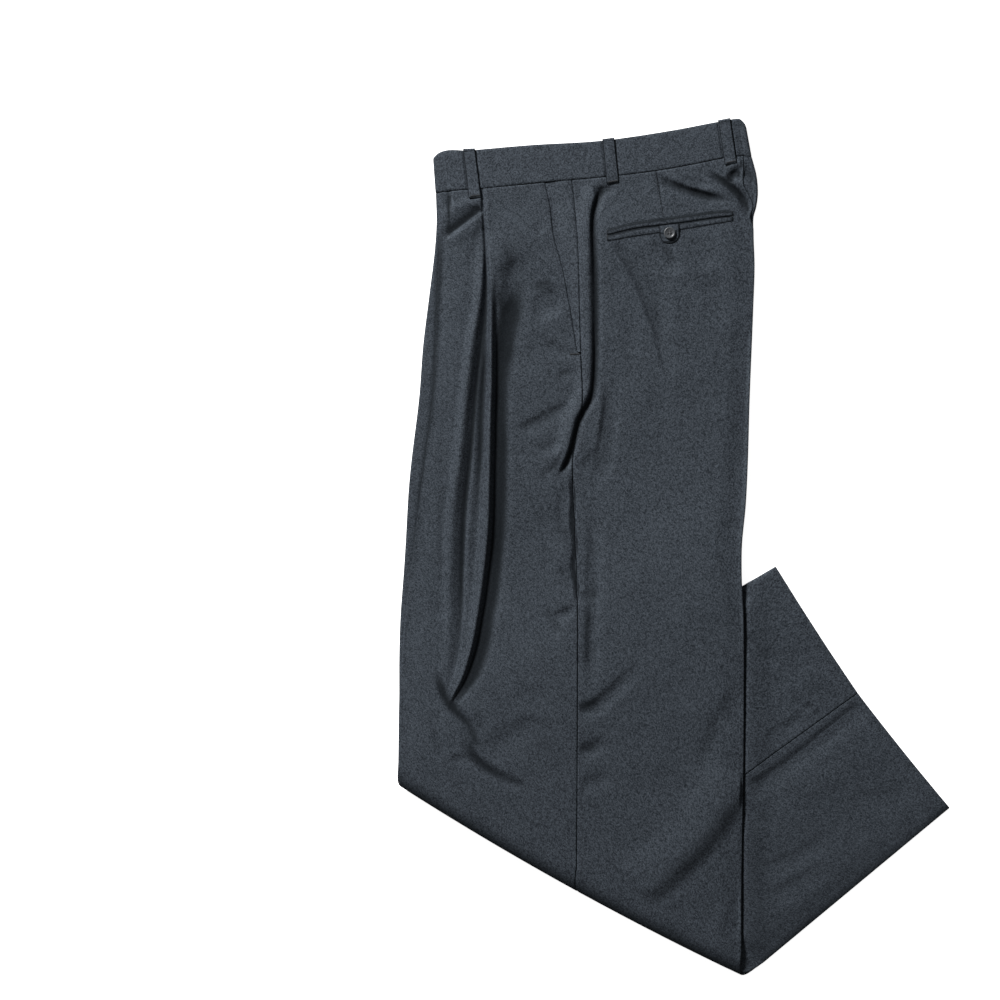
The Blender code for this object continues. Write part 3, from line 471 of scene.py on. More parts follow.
    def rows(self, thigh: int, turn: int, shin: int) -> list[Row]:
        """Every row from the waist round the fold to the hem.

        Args:
            thigh: steps down the thigh.
            turn: steps round the fold.
            shin: steps down to the hem.

        Returns:
            The rows in order.
        """
        seat = thigh // 4
        stops = spread(np.array((0.0, self.top_seam, self.seat, 1.0)), (3, seat, thigh - seat))
        rows = [Row(Zone.THIGH, float(at)) for at in stops]
        rows += [Row(Zone.TURN, float(at)) for at in np.linspace(0.0, 180.0, turn + 1)[1:]]
        return rows + [Row(Zone.SHIN, float(at)) for at in np.linspace(0.0, 1.0, shin + 1)[1:]]


# ---------------------------------------------------------------- folds and creases


@dataclass(frozen=True)
class Pleat:
    """One section through the front pleats: places x and heights over the plain cloth."""

    y: float
    roll: float
    roll_h: float
    cleft: float
    cleft_h: float
    lip: float
    lip_h: float
    dip: float
    dip_h: float
    crest: float
    crest_h: float
    foot: float
    foot_h: float
    floor: float
    floor_h: float
    plain: float
    plain_h: float


@dataclass(frozen=True)
class Crease:
    """A ridge or, below 0, a trough: its height, its width on either hand, and its points."""

    height: float
    left: float
    right: float
    points: tuple[tuple[float, float], ...]
    sharp: float = 0.0
    fade: tuple[float, float] = (0.18, 0.18)


def on_table(places: Rows) -> Rows:
    """Points on the table, to a tenth of a millimetre.

    Args:
        places: columns and rows of the drawing grid.

    Returns:
        Points (x, y).
    """
    middle_column, middle_row = GRID_CENTRE
    return tuple((round((column - middle_column) * GRID_STEP, 1),
                  round((middle_row - row) * GRID_STEP, 1)) for column, row in places)


def lit_on_left(points: Rows | np.ndarray) -> bool:
    """Whether the light falls on the left-hand side of a line of points."""
    dx, dy = np.subtract(points[-1], points[0])
    return dx * KEY_PLACE[1] - dy * KEY_PLACE[0] > 0.0


def stroke(height: float, left: float, right: float, places: Rows,
           fade: float | tuple[float, float] = 0.3, sharp: float = 0.0) -> Crease:
    """A ridge or trough drawn on the grid.

    Args:
        height: its height, below 0 for a trough.
        left: its width on the left hand.
        right: its width on the right hand.
        places: columns and rows of the drawing grid.
        fade: share of its length over which it fades at its ends.
        sharp: how sharp its bottom or top is, from 0 to 1.

    Returns:
        The crease.
    """
    ends = fade if isinstance(fade, tuple) else (fade, fade)
    return Crease(height, left, right, on_table(places), sharp, ends)


def ridge(height: float, width: float, places: Rows, lean: float,
          fade: float | tuple[float, float] = 0.3, sharp: float = 0.0) -> Crease:
    """A ridge that is wider on its lit side.

    Args:
        height: its height.
        width: its width away from the light.
        places: columns and rows of the drawing grid.
        lean: how many times as wide it is towards the light.
        fade: share of its length over which it fades at its ends.
        sharp: how sharp its top is, from 0 to 1.

    Returns:
        The crease.
    """
    wide = round(lean * width, 1)
    left, right = (wide, width) if lit_on_left(on_table(places)) else (width, wide)
    return stroke(height, left, right, places, fade, sharp)


def trough(depth: float, width: float, places: Rows, lean: float,
           fade: float | tuple[float, float] = 0.3, sharp: float = 0.0) -> Crease:
    """A trough whose shaded slope lies on its drawn line, and whose lit slope is wider.

    Args:
        depth: its depth.
        width: its width towards the light.
        places: columns and rows of the drawing grid.
        lean: how many times as wide it is away from the light.
        fade: share of its length over which it fades at its ends.
        sharp: how sharp its bottom is, from 0 to 1.

    Returns:
        The crease.
    """
    drawn = (np.array(places, float) - GRID_CENTRE) * (GRID_STEP, -GRID_STEP)
    near = np.concatenate((drawn[:1], drawn, drawn[-1:]))
    along = near[2:] - near[:-2]
    along /= np.linalg.norm(along, axis=1)[:, None]
    away = along[:, ::-1] * ((1.0, -1.0) if lit_on_left(drawn) else (-1.0, 1.0))
    moved = (drawn + away * (SLOPE_PLACE * width)) / (GRID_STEP, -GRID_STEP) + GRID_CENTRE
    moved = tuple(map(tuple, np.round(moved, 2).tolist()))
    wide = round(lean * width, 1)
    left, right = (width, wide) if lit_on_left(on_table(moved)) else (wide, width)
    return stroke(-depth, left, right, moved, fade, sharp)


def pleat(row: float, *marks: float) -> Pleat:
    """One section through the pleats.

    Args:
        row: its row on the drawing grid.
        marks: a column of the grid and a height for each mark, from the roll to the plain cloth.

    Returns:
        The section, in millimetres.
    """
    places = on_table(tuple((column, row) for column in marks[::2]))
    values = [value for (x, _), height in zip(places, marks[1::2]) for value in (x, height)]
    return Pleat(places[0][1], *values)


@dataclass(frozen=True)
class Ripple:
    """A long low wave of the cloth: height, length, direction in degrees and shift."""

    height: float
    length: float
    angle: float
    shift: float


@dataclass(frozen=True)
class Relief:
    """Every pleat, fold, wave and painted shade: of the left leg's thigh, and of the right leg's
    shin.
    """

    deepest: float = -2.4
    bottom: float = 0.8
    swell: float = 9.0
    before_roll: float = -0.06
    narrowest: float = 0.1
    # painted shade: the trough depth that gives the darkest, the width under which a trough counts
    # fully, and the pleat valleys' share
    darkest: float = 2.8
    narrow: float = 11.0
    pleat_shade: float = 1.2
    fold_ease: float = 18.0
    pleat_marks: tuple[str, ...] = ("roll", "cleft", "lip", "dip", "crest", "foot", "floor",
                                    "plain")
    pleats: tuple[Pleat, ...] = (
        pleat(712, 437, 0, 441, 0, 443.5, 0, 445.5, 0, 447, 0, 449, 0, 451.5, 0, 457, 0),
        pleat(697, 440, 0.3, 444, 0.2, 446.5, 0.5, 448.5, 0.9, 451.8, 1.6, 456, -1.4, 460, -1.4,
              468, 0),
        pleat(680, 444.5, 0.9, 451.5, 0.2, 454, 1, 456.5, 1.6, 460.3, 3, 465.5, -2.2, 472, -2.2,
              483, 0),
        pleat(660, 447.5, 1.4, 456.8, -0.8, 459.5, 1, 462.5, 1.8, 467.2, 4.4, 473.1, -2.3, 480,
              -2.3, 492, 0),
        pleat(640, 448.5, 1.7, 459.5, -1.1, 463, 1.2, 467, 1.6, 472.3, 5.2, 478.6, -2.4, 485.5,
              -2.4, 497, 0),
        pleat(620, 449, 2, 460.8, -1.5, 464.5, 1.2, 469, 1.4, 475.7, 5.6, 482.4, -2.4, 488.5,
              -2.4, 499, 0),
        pleat(600, 449.3, 2.3, 461.5, -1.8, 466, 1.2, 471.5, 1, 479, 6, 485.9, -2.4, 492.5,
              -2.4, 503, 0),
        pleat(570, 449.5, 2.9, 462, -2.2, 467, 1.3, 473.5, 0.5, 482.9, 6.3, 489.8, -2.4, 496.5,
              -2.4, 507, 0),
        pleat(540, 450.5, 3.3, 463.2, -2.4, 467.8, 1.3, 475.7, -0.4, 486.1, 6.5, 492.8, -2.4,
              499.5, -2.4, 510, 0),
        pleat(510, 452.5, 3.6, 464.9, -2.4, 469.5, 1, 477.3, -1.1, 487.8, 6.6, 494.5, -2.4,
              501.5, -2.4, 512, 0),
        pleat(480, 456, 3.8, 467.8, -2.4, 472, 0.2, 479.2, -1.6, 488.5, 6.6, 495.2, -2.4, 502,
              -2.4, 513, 0),
        pleat(450, 460, 4, 470.8, -2.4, 474.4, -0.6, 481, -2.3, 489, 6.6, 496, -2.4, 502.5,
              -2.4, 513, 0),
        pleat(420, 462.8, 4.1, 473.1, -2.4, 476, -1.2, 481.8, -2.4, 489.7, 6.6, 496.1, -2.4,
              501.5, -2.4, 513, 0),
        pleat(380, 467.4, 4.2, 477.2, -2.4, 479.9, -1.6, 483.9, -2.4, 490.8, 6.5, 497, -2.2,
              502, -2.3, 516, 0),
        pleat(340, 472.2, 4.1, 481.8, -2.4, 484.2, -2.2, 486.6, -1, 490.8, 6.4, 497.4, -1.4,
              506, -2.3, 525, 0),
        pleat(310, 477.8, 3.6, 485.4, -2.4, 486.9, -1.7, 487.8, 0.9, 490.8, 6.2, 497.4, 0.2,
              513, -2.2, 532, 0.1),
        pleat(285, 481, 2.6, 486.5, -2.4, 487.4, -0.5, 488.2, 1.4, 490.6, 5.9, 497.5, 3.6, 516,
              -0.8, 534, 0.2),
        pleat(262, 482.3, 1.5, 485.9, -1.9, 486.8, 0.1, 487.6, 1.3, 489.8, 4.2, 499, 3.9, 519,
              0.2, 534, 0.3),
        pleat(245, 482.4, 0.9, 485.3, -1.4, 486.1, 0.2, 486.9, 1.2, 489.4, 3, 498, 2.8, 514, 1,
              532, 0.3),
        pleat(230, 481.6, 0.7, 484.4, -1.3, 485.2, 0.2, 486, 1, 488.8, 2.4, 496, 1.9, 509, 1.2,
              530, 0.4),
        pleat(190, 479.6, 0.7, 482.2, -1.3, 483, 0.1, 483.8, 0.9, 486.5, 1.8, 494, 1.3, 508,
              0.8, 530, 0.4),
    )
    creases: tuple[Crease, ...] = (
        # under the first pleat
        trough(1.5, 12, ((479.5, 207), (468, 215.5), (455, 225), (441, 236)), 0.3, (0.01, 0.1)),
        stroke(1.5, 14, 3.5, ((485, 213.5), (473, 222), (460.5, 231.5), (447, 242)), (0.01, 0.2)),
        ridge(1.2, 9, ((483, 199), (469, 203), (454, 209), (440, 221)), 0.9, (0.02, 0.2)),
        trough(1.7, 2.4, ((447.5, 190), (448.5, 205), (447, 222)), 1.2, (0.05, 0.3)),
        trough(1, 9, ((483, 225), (474, 246), (462, 275)), 1.6, (0.1, 0.4)),
        trough(0.8, 9, ((434, 262), (434, 300), (431, 350)), 1.6, 0.25),
        trough(0.9, 9, ((444, 398), (440, 450), (441, 520), (441, 600)), 1.4, 0.25),
        # roll beside the outseam, its cleft and the trough behind it
        stroke(3, 5.5, 15, ((602, 178), (595.5, 190), (590.5, 206), (588, 225), (587.5, 256),
               (588.5, 310), (589, 353), (587.5, 388), (580.5, 402)), (0.1, 0.12)),
        stroke(3.8, 6.5, 15, ((590, 380), (583, 402), (574, 418), (570.5, 432), (565.5, 452),
               (553.5, 476)), (0.2, 0.2)),
        stroke(-3.8, 8, 3, ((606, 184), (599.5, 193), (594.5, 206), (592.5, 218), (592.5, 232),
               (593.5, 250), (594.5, 275), (595, 300), (595, 330), (594.5, 360), (593, 385),
               (589.5, 399), (582.5, 411), (577.3, 423), (574, 436), (570.5, 449),
               (566.5, 460), (558.5, 477)), (0.05, 0.05), sharp=0.25),
        trough(1.6, 7, ((593, 188), (604, 188), (616, 184)), 1.2, (0.1, 0.3)),
        trough(3.4, 9, ((602, 378), (604, 402), (603, 424), (600, 448),
               (592, 488)), 1.9, (0.35, 0.3)),
        ridge(1.2, 7, ((601, 380), (602, 410), (597, 440)), 1),
        trough(1.5, 9, ((598, 448), (588, 458), (578, 471)), 1.8),
        # puckers by the outseam
        trough(3.4, 5, ((570, 472), (572, 500), (571, 522), (574, 546), (572, 566), (575, 588),
               (576, 606)), 0.7, (0.15, 0.12)),
        trough(1.5, 7, ((556, 566), (564, 578), (573, 596)), 1.5),
        trough(1.4, 7, ((558, 528), (566, 540), (573, 558)), 1.5),
        trough(1.8, 8, ((586, 498), (590, 540), (589, 575), (588, 640), (588, 690)), 1.6, 0.2),
        trough(1.8, 7, ((576, 596), (586, 593), (598, 584)), 1.6),
        trough(1.8, 6, ((551, 615), (560, 611), (575, 606)), 1.8),
        trough(1.1, 5, ((543, 612), (552, 626), (560, 638)), 1.8),
        trough(1.2, 7, ((557, 485), (559, 512), (556, 540)), 1.5),
        trough(2.5, 8, ((577, 701), (592, 703), (607, 690), (630, 669),
               (648, 656)), 1.8, (0.16, 0.6)),
        trough(2.2, 9, ((575, 745), (590, 743), (610, 735)), 1.6, (0.3, 0.4)),
        trough(1.9, 11, ((577, 779), (592, 777), (610, 767)), 1.4, (0.3, 0.4)),
        # front of the thigh
        trough(1.9, 6.5, ((512, 430), (528, 423), (545, 414), (570, 401)), 2.2, (0.3, 0.25)),
        trough(0.9, 6, ((534, 449), (548, 444), (560, 436)), 2),
        trough(1, 5, ((537, 484), (548, 467), (559, 450)), 1.8),
        trough(1, 4, ((547, 475), (556, 461), (565, 446)), 1.6),
        trough(1.2, 4.5, ((555, 377), (563, 372), (575, 370)), 2.2),
        trough(1.1, 4.5, ((543, 342), (556, 344), (566, 350), (578, 353)), 2.2),
        trough(2.6, 17, ((497, 276), (510, 268), (525, 254)), 1.5, (0.2, 0.35)),
        trough(1.6, 15, ((515, 292), (530, 280), (543, 272)), 1.5, 0.35),
        trough(3.4, 14, ((526, 306), (543, 299), (560, 287)), 1.4, 0.35),
        trough(0.8, 7, ((532, 224), (540, 236)), 2),
        trough(1, 7, ((548, 196), (552, 214), (556, 240)), 1.5),
        trough(0.7, 14, ((540, 500), (544, 540), (544, 580)), 2),
        trough(0.6, 12, ((505, 356), (520, 352), (540, 352)), 2),
        # knee of the front
        trough(3, 6, ((437, 668), (440, 690), (449, 707), (462, 720), (470, 732),
               (476, 750)), 1.3, (0.25, 0.12)),
        trough(2.8, 6, ((469, 734), (474, 748), (480, 757), (490, 765), (505, 774), (522, 782),
               (540, 790)), 1.8, (0.15, 0.35)),
        trough(1.1, 4, ((473, 706), (477, 720), (480, 734)), 1.8),
        trough(1.7, 7, ((472, 744), (485, 745), (499, 737), (513, 726), (532, 719), (548, 726),
               (566, 734)), 4.5, (0.15, 0.35)),
        trough(1.1, 6, ((430, 708), (433, 730), (442, 762)), 1.8),
        trough(1.2, 6, ((450, 757), (460, 755), (472, 757)), 1.8),
        ridge(0.8, 4, ((512, 771), (530, 789), (560, 818), (580, 837)), 1.2, 0.2),
        trough(0.7, 4, ((545, 795), (562, 812), (582, 833)), 1.2, 0.25),
        trough(0.9, 16, ((500, 705), (525, 690), (560, 690)), 1.5),
        # seat
        trough(2.3, 5, ((655, 172), (668, 180), (682, 186.5), (700, 191.5), (720, 196.5),
               (738, 203)), 1.8, (0.22, 0.3)),
        ridge(2.2, 5, ((660, 169), (674, 179), (690, 186), (710, 192), (730, 198)), 1.8),
        trough(3.2, 4.5, ((708, 169), (719, 176), (731, 184), (742, 195), (750, 209),
               (753, 220)), 1.7, (0.2, 0.25)),
        ridge(2.2, 5, ((712, 171), (724, 181), (736, 189), (748, 202)), 1.6),
        trough(1.5, 6, ((678, 176), (694, 179), (710, 187)), 1.8),
        stroke(-3.8, 5, 9, ((727, 181), (733, 175), (741, 172.5), (750, 174), (758, 181)),
               (0.12, 0.1), sharp=0.1),
        ridge(1.6, 5, ((724, 171), (737, 164), (750, 165)), 1.2),
        trough(1.1, 6, ((686, 190), (700, 192), (718, 200)), 2),
        trough(1.2, 6, ((742, 186), (749, 196), (755, 210)), 1.4),
        # round the back pocket
        trough(2.4, 5, ((609, 241), (622, 259.5), (636, 284.5), (645, 307), (654, 330),
               (663, 366), (671, 398)), 3, (0.1, 0.5)),
        trough(1.4, 9, ((642, 250), (649.5, 280), (656, 312), (662, 340)), 2),
        trough(1.7, 8, ((650, 238), (664, 247), (673, 258), (680, 276)), 2),
        trough(0.7, 10, ((650, 240), (640, 252), (634, 272)), 2),
        trough(1.1, 9, ((684, 240), (696, 252), (708, 272)), 2),
        trough(0.8, 10, ((634, 284), (660, 281), (690, 281), (724, 278)), 3),
        trough(0.9, 14, ((700, 282), (708, 300), (706, 324)), 1.8),
        trough(0.8, 12, ((646, 382), (652, 400), (652, 420)), 1.8),
        trough(0.7, 10, ((622, 300), (626, 330), (622, 360)), 1.8),
        # back edge
        trough(1.3, 20, ((736, 320), (738, 400), (731, 480), (722, 545), (729, 590),
               (741, 640)), 1.2, 0.2),
        # knee of the back
        ridge(4.6, 20, ((745, 770), (737, 787), (722, 810), (703, 836), (681, 859), (657, 879),
               (632, 894), (612, 901)), 2.4, (0.1, 0.25)),
        trough(1.8, 12, ((739, 678), (726, 697), (711, 728), (702, 752),
               (697, 772)), 1.8, (0.25, 0.3)),
        trough(1.6, 12, ((740, 888), (733, 908), (722, 938)), 1.2, (0.2, 0.3)),
        trough(0.9, 9, ((648, 905), (676, 908), (700, 918)), 2),
        # back dart
        trough(1.1, 1.8, ((655.5, 168), (663, 216)), 1, (0.05, 0.2), sharp=0.8),
    )
    # painted shade strokes: dark places among the folds, which change no height
    shades: tuple[Crease, ...] = (
        stroke(-2, 3, 11, ((481, 207), (470, 216.5), (457, 226.5), (444, 236)), (0.02, 0.2)),
        stroke(-1.3, 5, 5, ((479, 212), (477, 228), (472, 246)), (0.2, 0.4)),
        stroke(-1.9, 16, 7, ((497, 270), (500, 292), (502, 314), (501, 342), (498, 376)),
               (0.35, 0.35)),
        stroke(-1.6, 9, 9, ((530, 291), (544, 284), (556, 279)), 0.35),
        stroke(-1, 9, 7, ((500, 240), (508, 256), (512, 270)), 0.4),
        stroke(-0.6, 9, 9, ((434, 655), (437, 680), (445, 700), (459, 716), (472, 725)),
               (0.3, 0.2)),
        stroke(-0.7, 10, 10, ((464, 741), (477, 759), (494, 771), (514, 784)), (0.25, 0.5)),
        stroke(-1, 6, 6, ((484, 741), (497, 731), (511, 722))),
        stroke(-0.8, 20, 20, ((512, 746), (545, 742), (572, 740)), 0.45),
        stroke(-1.6, 8, 8, ((577, 707), (588, 703), (602, 693)), (0.1, 0.5)),
        stroke(-1.2, 7, 7, ((577, 749), (589, 746), (601, 741)), (0.1, 0.5)),
        stroke(-1.2, 8, 5, ((585, 596), (586, 620), (584, 650), (583, 676))),
        stroke(-1.3, 24, 9, ((646, 893), (677, 873), (703, 848), (723, 822), (737, 798)),
               (0.35, 0.15)),
        stroke(-0.5, 9, 9, ((664, 178), (680, 185), (698, 191), (718, 196))),
        stroke(-1.2, 9, 9, ((717, 175), (730, 183), (741, 194), (749, 207))),
        stroke(-1.5, 4, 4, ((730, 177), (734, 172.5), (741, 171))),
        Crease(-2.3, 2.2, 0.8, ((-71, 327.4), (-41.4, 335), (-26.3, 337.3), (12.4, 342.6),
               (47.3, 347), (59.5, 347.3)), fade=(0.02, 0.02)),
        Crease(-3, 2.2, 2.2, ((-71, 321.4), (-41.4, 328.6), (-17.5, 331.8), (2.8, 334.3),
               (41.5, 340), (59.5, 342)), fade=(0.02, 0.02)),
        Crease(-1.5, 0.8, 1.8, ((-71, 315.9), (-40.4, 321.1), (4.7, 327.6), (41.4, 333.8),
               (59.5, 336.9)), fade=(0.02, 0.02)),
        stroke(-1.7, 2.2, 2.2, ((449.3, 195), (449, 212), (447.5, 236)), (0.02, 0.4)),
        stroke(-1, 7, 7, ((662, 241), (668, 252), (674, 264)), 0.35),
    )
    lower_creases: tuple[Crease, ...] = (
        stroke(3.4, 30, 2.6, ((746, 588), (746, 640), (746, 700), (745, 770), (743.5, 850),
               (742.3, 930), (742, 962)), (0.05, 0.05)),
        trough(2.2, 9, ((742, 786), (765, 775), (800, 750), (835, 722),
               (862, 700)), 2.2, (0.1, 0.1)),
        trough(1.3, 8, ((750, 628), (766, 648), (782, 663)), 2),
        trough(1.1, 8, ((758, 738), (785, 724), (808, 707)), 2),
        trough(1.4, 4, ((805, 701), (816, 707)), 1.8, 0.4),
        trough(1.2, 4, ((813, 708), (825, 714)), 1.8, 0.4),
        trough(1.2, 10, ((750, 862), (770, 862), (800, 850), (838, 822)), 2),
        trough(1.1, 10, ((762, 895), (790, 882), (822, 862)), 2),
        trough(1, 10, ((740, 800), (760, 816), (775, 822)), 2),
        trough(1.1, 12, ((848, 792), (885, 794), (905, 776)), 2),
        ridge(0.7, 14, ((780, 700), (830, 668)), 1.2, 0.35),
        ridge(0.7, 16, ((790, 800), (850, 770)), 1.2, 0.35),
    )
    ripples: tuple[Ripple, ...] = (
        Ripple(0.26, 210.0, 12.0, 0.4), Ripple(0.24, 137.0, 74.0, 2.1),
        Ripple(0.19, 93.0, 38.0, 4.4), Ripple(0.16, 71.0, -52.0, 1.2),
        Ripple(0.09, 47.0, 105.0, 5.1), Ripple(0.06, 33.0, 20.0, 3.3))

    def column(self, mark: str) -> Rows:
        """One column of the pleat sections as rows (y, value)."""
        return tuple((pleat.y, getattr(pleat, mark)) for pleat in self.pleats)

    def pleat_height(self, lay: Lay, x: np.ndarray, y: np.ndarray) -> np.ndarray:
        """Height of the front pleats over the plain cloth.

        Args:
            lay: how the trousers lie.
            x: places across.
            y: places towards the waist.

        Returns:
            Heights.
        """
        edge = through(lay.front_crease, y)
        swell = through(self.column("roll"), y) - self.swell
        stops = [edge, np.maximum(swell, edge + self.narrowest)]
        heights = [np.zeros_like(x), self.before_roll * through(self.column("roll_h"), y)]
        for mark in self.pleat_marks:
            stops.append(through(self.column(mark), y))
            heights.append(through(self.column(mark + "_h"), y))
        stops.append(through(lay.outseam, y))
        heights.append(np.zeros_like(x))
        height = np.zeros_like(x)
        for a, b, start, end in zip(stops, stops[1:], heights, heights[1:]):
            inside = (x >= a) & (x < b)
            width = np.maximum(b - a, self.narrowest)
            eased = start + (end - start) * smooth((x - a) / width)
            height = np.where(inside, eased, height)
        return height

    def crease_height(self, x: np.ndarray, y: np.ndarray, crease: Crease) -> np.ndarray:
        """Height of one ridge or trough, which fades towards its two ends.

        Args:
            x: places across.
            y: places towards the waist.
            crease: the ridge or trough.

        Returns:
            Heights.
        """
        points = rounded(np.array(crease.points, float))
        widest = max(crease.left, crease.right)
        near = ((x > points[:, 0].min() - widest) & (x < points[:, 0].max() + widest)
                & (y > points[:, 1].min() - widest) & (y < points[:, 1].max() + widest))
        height = np.zeros(x.shape)
        if not near.any():
            return height
        px, py = x[near], y[near]
        lengths = np.linalg.norm(np.diff(points, axis=0), axis=1)
        total = lengths.sum()
        nearest = np.full(px.shape, 1.0e9)
        side = np.zeros(px.shape)
        fraction = np.zeros(px.shape)
        walked = 0.0
        for low, high, length in zip(points, points[1:], lengths):
            along = (high - low) / length
            dx, dy = px - low[0], py - low[1]
            t = np.clip(dx * along[0] + dy * along[1], 0.0, length)
            away = np.hypot(dx - t * along[0], dy - t * along[1])
            closer = away < nearest
            nearest = np.where(closer, away, nearest)
            side = np.where(closer, along[0] * dy - along[1] * dx, side)
            fraction = np.where(closer, (walked + t) / total, fraction)
            walked += length
        width = np.where(side > 0.0, crease.left, crease.right)
        across = np.clip(nearest / width, 0.0, 1.0)
        start, end = crease.fade
        fade = smooth(fraction / start) * smooth((1.0 - fraction) / end)
        soft = (1.0 - across * across) ** 2
        cusp = (1.0 - across) ** 2
        profile = soft + (cusp - soft) * crease.sharp
        height[near] = crease.height * profile * fade
        return height

    def waves(self, x: np.ndarray, y: np.ndarray) -> np.ndarray:
        """Height of the long low waves.

        Args:
            x: places across.
            y: places towards the waist.

        Returns:
            Heights.
        """
        height = np.zeros(x.shape)
        for ripple in self.ripples:
            angle = math.radians(ripple.angle)
            along = (x * math.cos(angle) + y * math.sin(angle)) * math.tau / ripple.length
            height += ripple.height * np.sin(along + ripple.shift)
        return height

    def height(self, lay: Lay, x: np.ndarray, y: np.ndarray) -> tuple[np.ndarray, np.ndarray]:
        """Height of everything over the plain cloth of the left leg's thigh.

        Args:
            lay: how the trousers lie.
            x: places across.
            y: places towards the waist.

        Returns:
            Heights, and the painted shade of each point from 0 to 1, both faded out
            before the slanted fold.
        """
        pleats = self.pleat_height(lay, x, y)
        height, shade_depth = self.creased(self.creases, x, y)
        height = self.settled(height + pleats)
        # painted shade deep in the pleats' valleys and along the painted shade strokes
        shade_depth += self.pleat_shade * np.minimum(pleats, 0.0)
        shade_depth += sum(self.crease_height(x, y, shade) for shade in self.shades)
        level = self.before_fold(lay, x, y)
        return height * level, smooth(-shade_depth / self.darkest) * level

    def creased(self, creases: tuple[Crease, ...], x: np.ndarray,
                y: np.ndarray) -> tuple[np.ndarray, np.ndarray]:
        """Height of the waves, ridges and troughs.

        Args:
            creases: the ridges and troughs.
            x: places across.
            y: places towards the waist.

        Returns:
            Heights of everything together, and of the troughs alone for painted shade, narrow ones
            most.
        """
        height = self.waves(x, y)
        shade_depth = np.zeros(x.shape)
        for crease in creases:
            change = self.crease_height(x, y, crease)
            height += change
            if crease.height < 0.0:
                narrow = min(1.0, self.narrow / (crease.left + crease.right)) ** 1.5
                shade_depth += change * narrow * min(1.0, self.darkest / -crease.height)
        return height, shade_depth

    def before_fold(self, lay: Lay, x: np.ndarray, y: np.ndarray) -> np.ndarray:
        """Share of the relief that is left near the slanted fold."""
        along, out = lay.fold_place(x, y)
        return smooth((lay.fold_bow(along) - lay.reach - out) / self.fold_ease)

    def settled(self, height: np.ndarray) -> np.ndarray:
        """Heights that level off softly before the layers beneath.

        Args:
            height: heights over the plain cloth.

        Returns:
            Heights, none of them under the deepest.
        """
        start = self.deepest + self.bottom
        below = np.maximum(start - height, 0.0)
        return np.where(below > 0.0, start - self.bottom * (1.0 - np.exp(-below / self.bottom)),
                        height)

    def lower_height(self, lay: Lay, x: np.ndarray,
                     y: np.ndarray) -> tuple[np.ndarray, np.ndarray]:
        """Height of everything over the plain cloth of the right leg's shin.

        Args:
            lay: how the trousers lie.
            x: places across.
            y: places towards the waist.

        Returns:
            Heights and painted shade, both faded out before the slanted fold.
        """
        height, shade_depth = self.creased(self.lower_creases, x, y)
        level = self.before_fold(lay, x, y)
        return height * level, smooth(-shade_depth / self.darkest) * level


# ---------------------------------------------------------------- meshes


def sheet_object(name: str, points: np.ndarray, weave: np.ndarray, up: bool,
                 thick: float, painted_shade: np.ndarray | None = None) -> bpy.types.Object:
    """Make a thin shell from a grid whose vertices are moved to their places.

    Args:
        name: the piece's name.
        points: places of the outer face, rows by columns by 3, in millimetres.
        weave: places on the flat cloth, rows by columns by 2, in millimetres.
        up: whether the middle of the outer face looks up.
        thick: thickness of the shell, in millimetres.
        painted_shade: painted shade of each point, from 0 to 1, which darkens its colour.

    Returns:
        The object, with its wall worked out by a Solidify modifier.
    """
    rows, columns = points.shape[:2]
    shape = bmesh.new()
    bmesh.ops.create_grid(shape, x_segments=columns - 1, y_segments=rows - 1, size=1.0)
    for edge in shape.edges:
        edge.smooth = not edge.is_boundary
    mesh = bpy.data.meshes.new(name)
    shape.to_mesh(mesh)
    shape.free()
    flat = np.empty(len(mesh.vertices) * 3)
    mesh.vertices.foreach_get("co", flat)
    flat = flat.reshape(-1, 3)
    low, high = flat.min(axis=0), flat.max(axis=0)
    column = np.rint((flat[:, 0] - low[0]) / (high[0] - low[0]) * (columns - 1)).astype(int)
    row = np.rint((flat[:, 1] - low[1]) / (high[1] - low[1]) * (rows - 1)).astype(int)
    mesh.vertices.foreach_set("co", ((points[row, column] - CENTRE) * MM).ravel())
    corners = np.empty(len(mesh.loops), int)
    mesh.loops.foreach_get("vertex_index", corners)
    layer = mesh.uv_layers.new(name=UV_NAME)
    layer.data.foreach_set("uv", (weave[row, column][corners] * MM).ravel())
    # the painted shade goes on the mesh as a point attribute
    if painted_shade is not None:
        shade = mesh.attributes.new(PAINTED_SHADE, "FLOAT", "POINT")
        shade.data.foreach_set("value", painted_shade[row, column])
    mesh.update()
    middle = mesh.polygons[(rows // 2) * (columns - 1) + columns // 2]
    if (middle.normal.z > 0.0) != up:
        mesh.flip_normals()
    mesh.polygons.foreach_set("use_smooth", np.ones(len(mesh.polygons), bool))
    made = bpy.data.objects.new(name, mesh)
    bpy.context.scene.collection.objects.link(made)
    wall = made.modifiers.new("cloth", "SOLIDIFY")
    wall.thickness = thick * MM
    wall.offset = -1.0
    wall.use_rim = True
    return made


def weave_of(points: np.ndarray) -> np.ndarray:
    """Places on the flat cloth of a grid's points.

    Args:
        points: rows by columns by 3, in millimetres.

    Returns:
        Lengths across and along the cloth, rows by columns by 2.
    """
    across = np.linalg.norm(np.diff(points, axis=1), axis=-1)
    across = np.concatenate((np.zeros((len(points), 1)), np.cumsum(across, axis=1)), axis=1)
    along = np.linalg.norm(np.diff(points[:, 0], axis=0), axis=-1)
    along = np.concatenate(([0.0], np.cumsum(along)))
    return np.stack((across, np.broadcast_to(along[:, None], across.shape)), axis=-1)


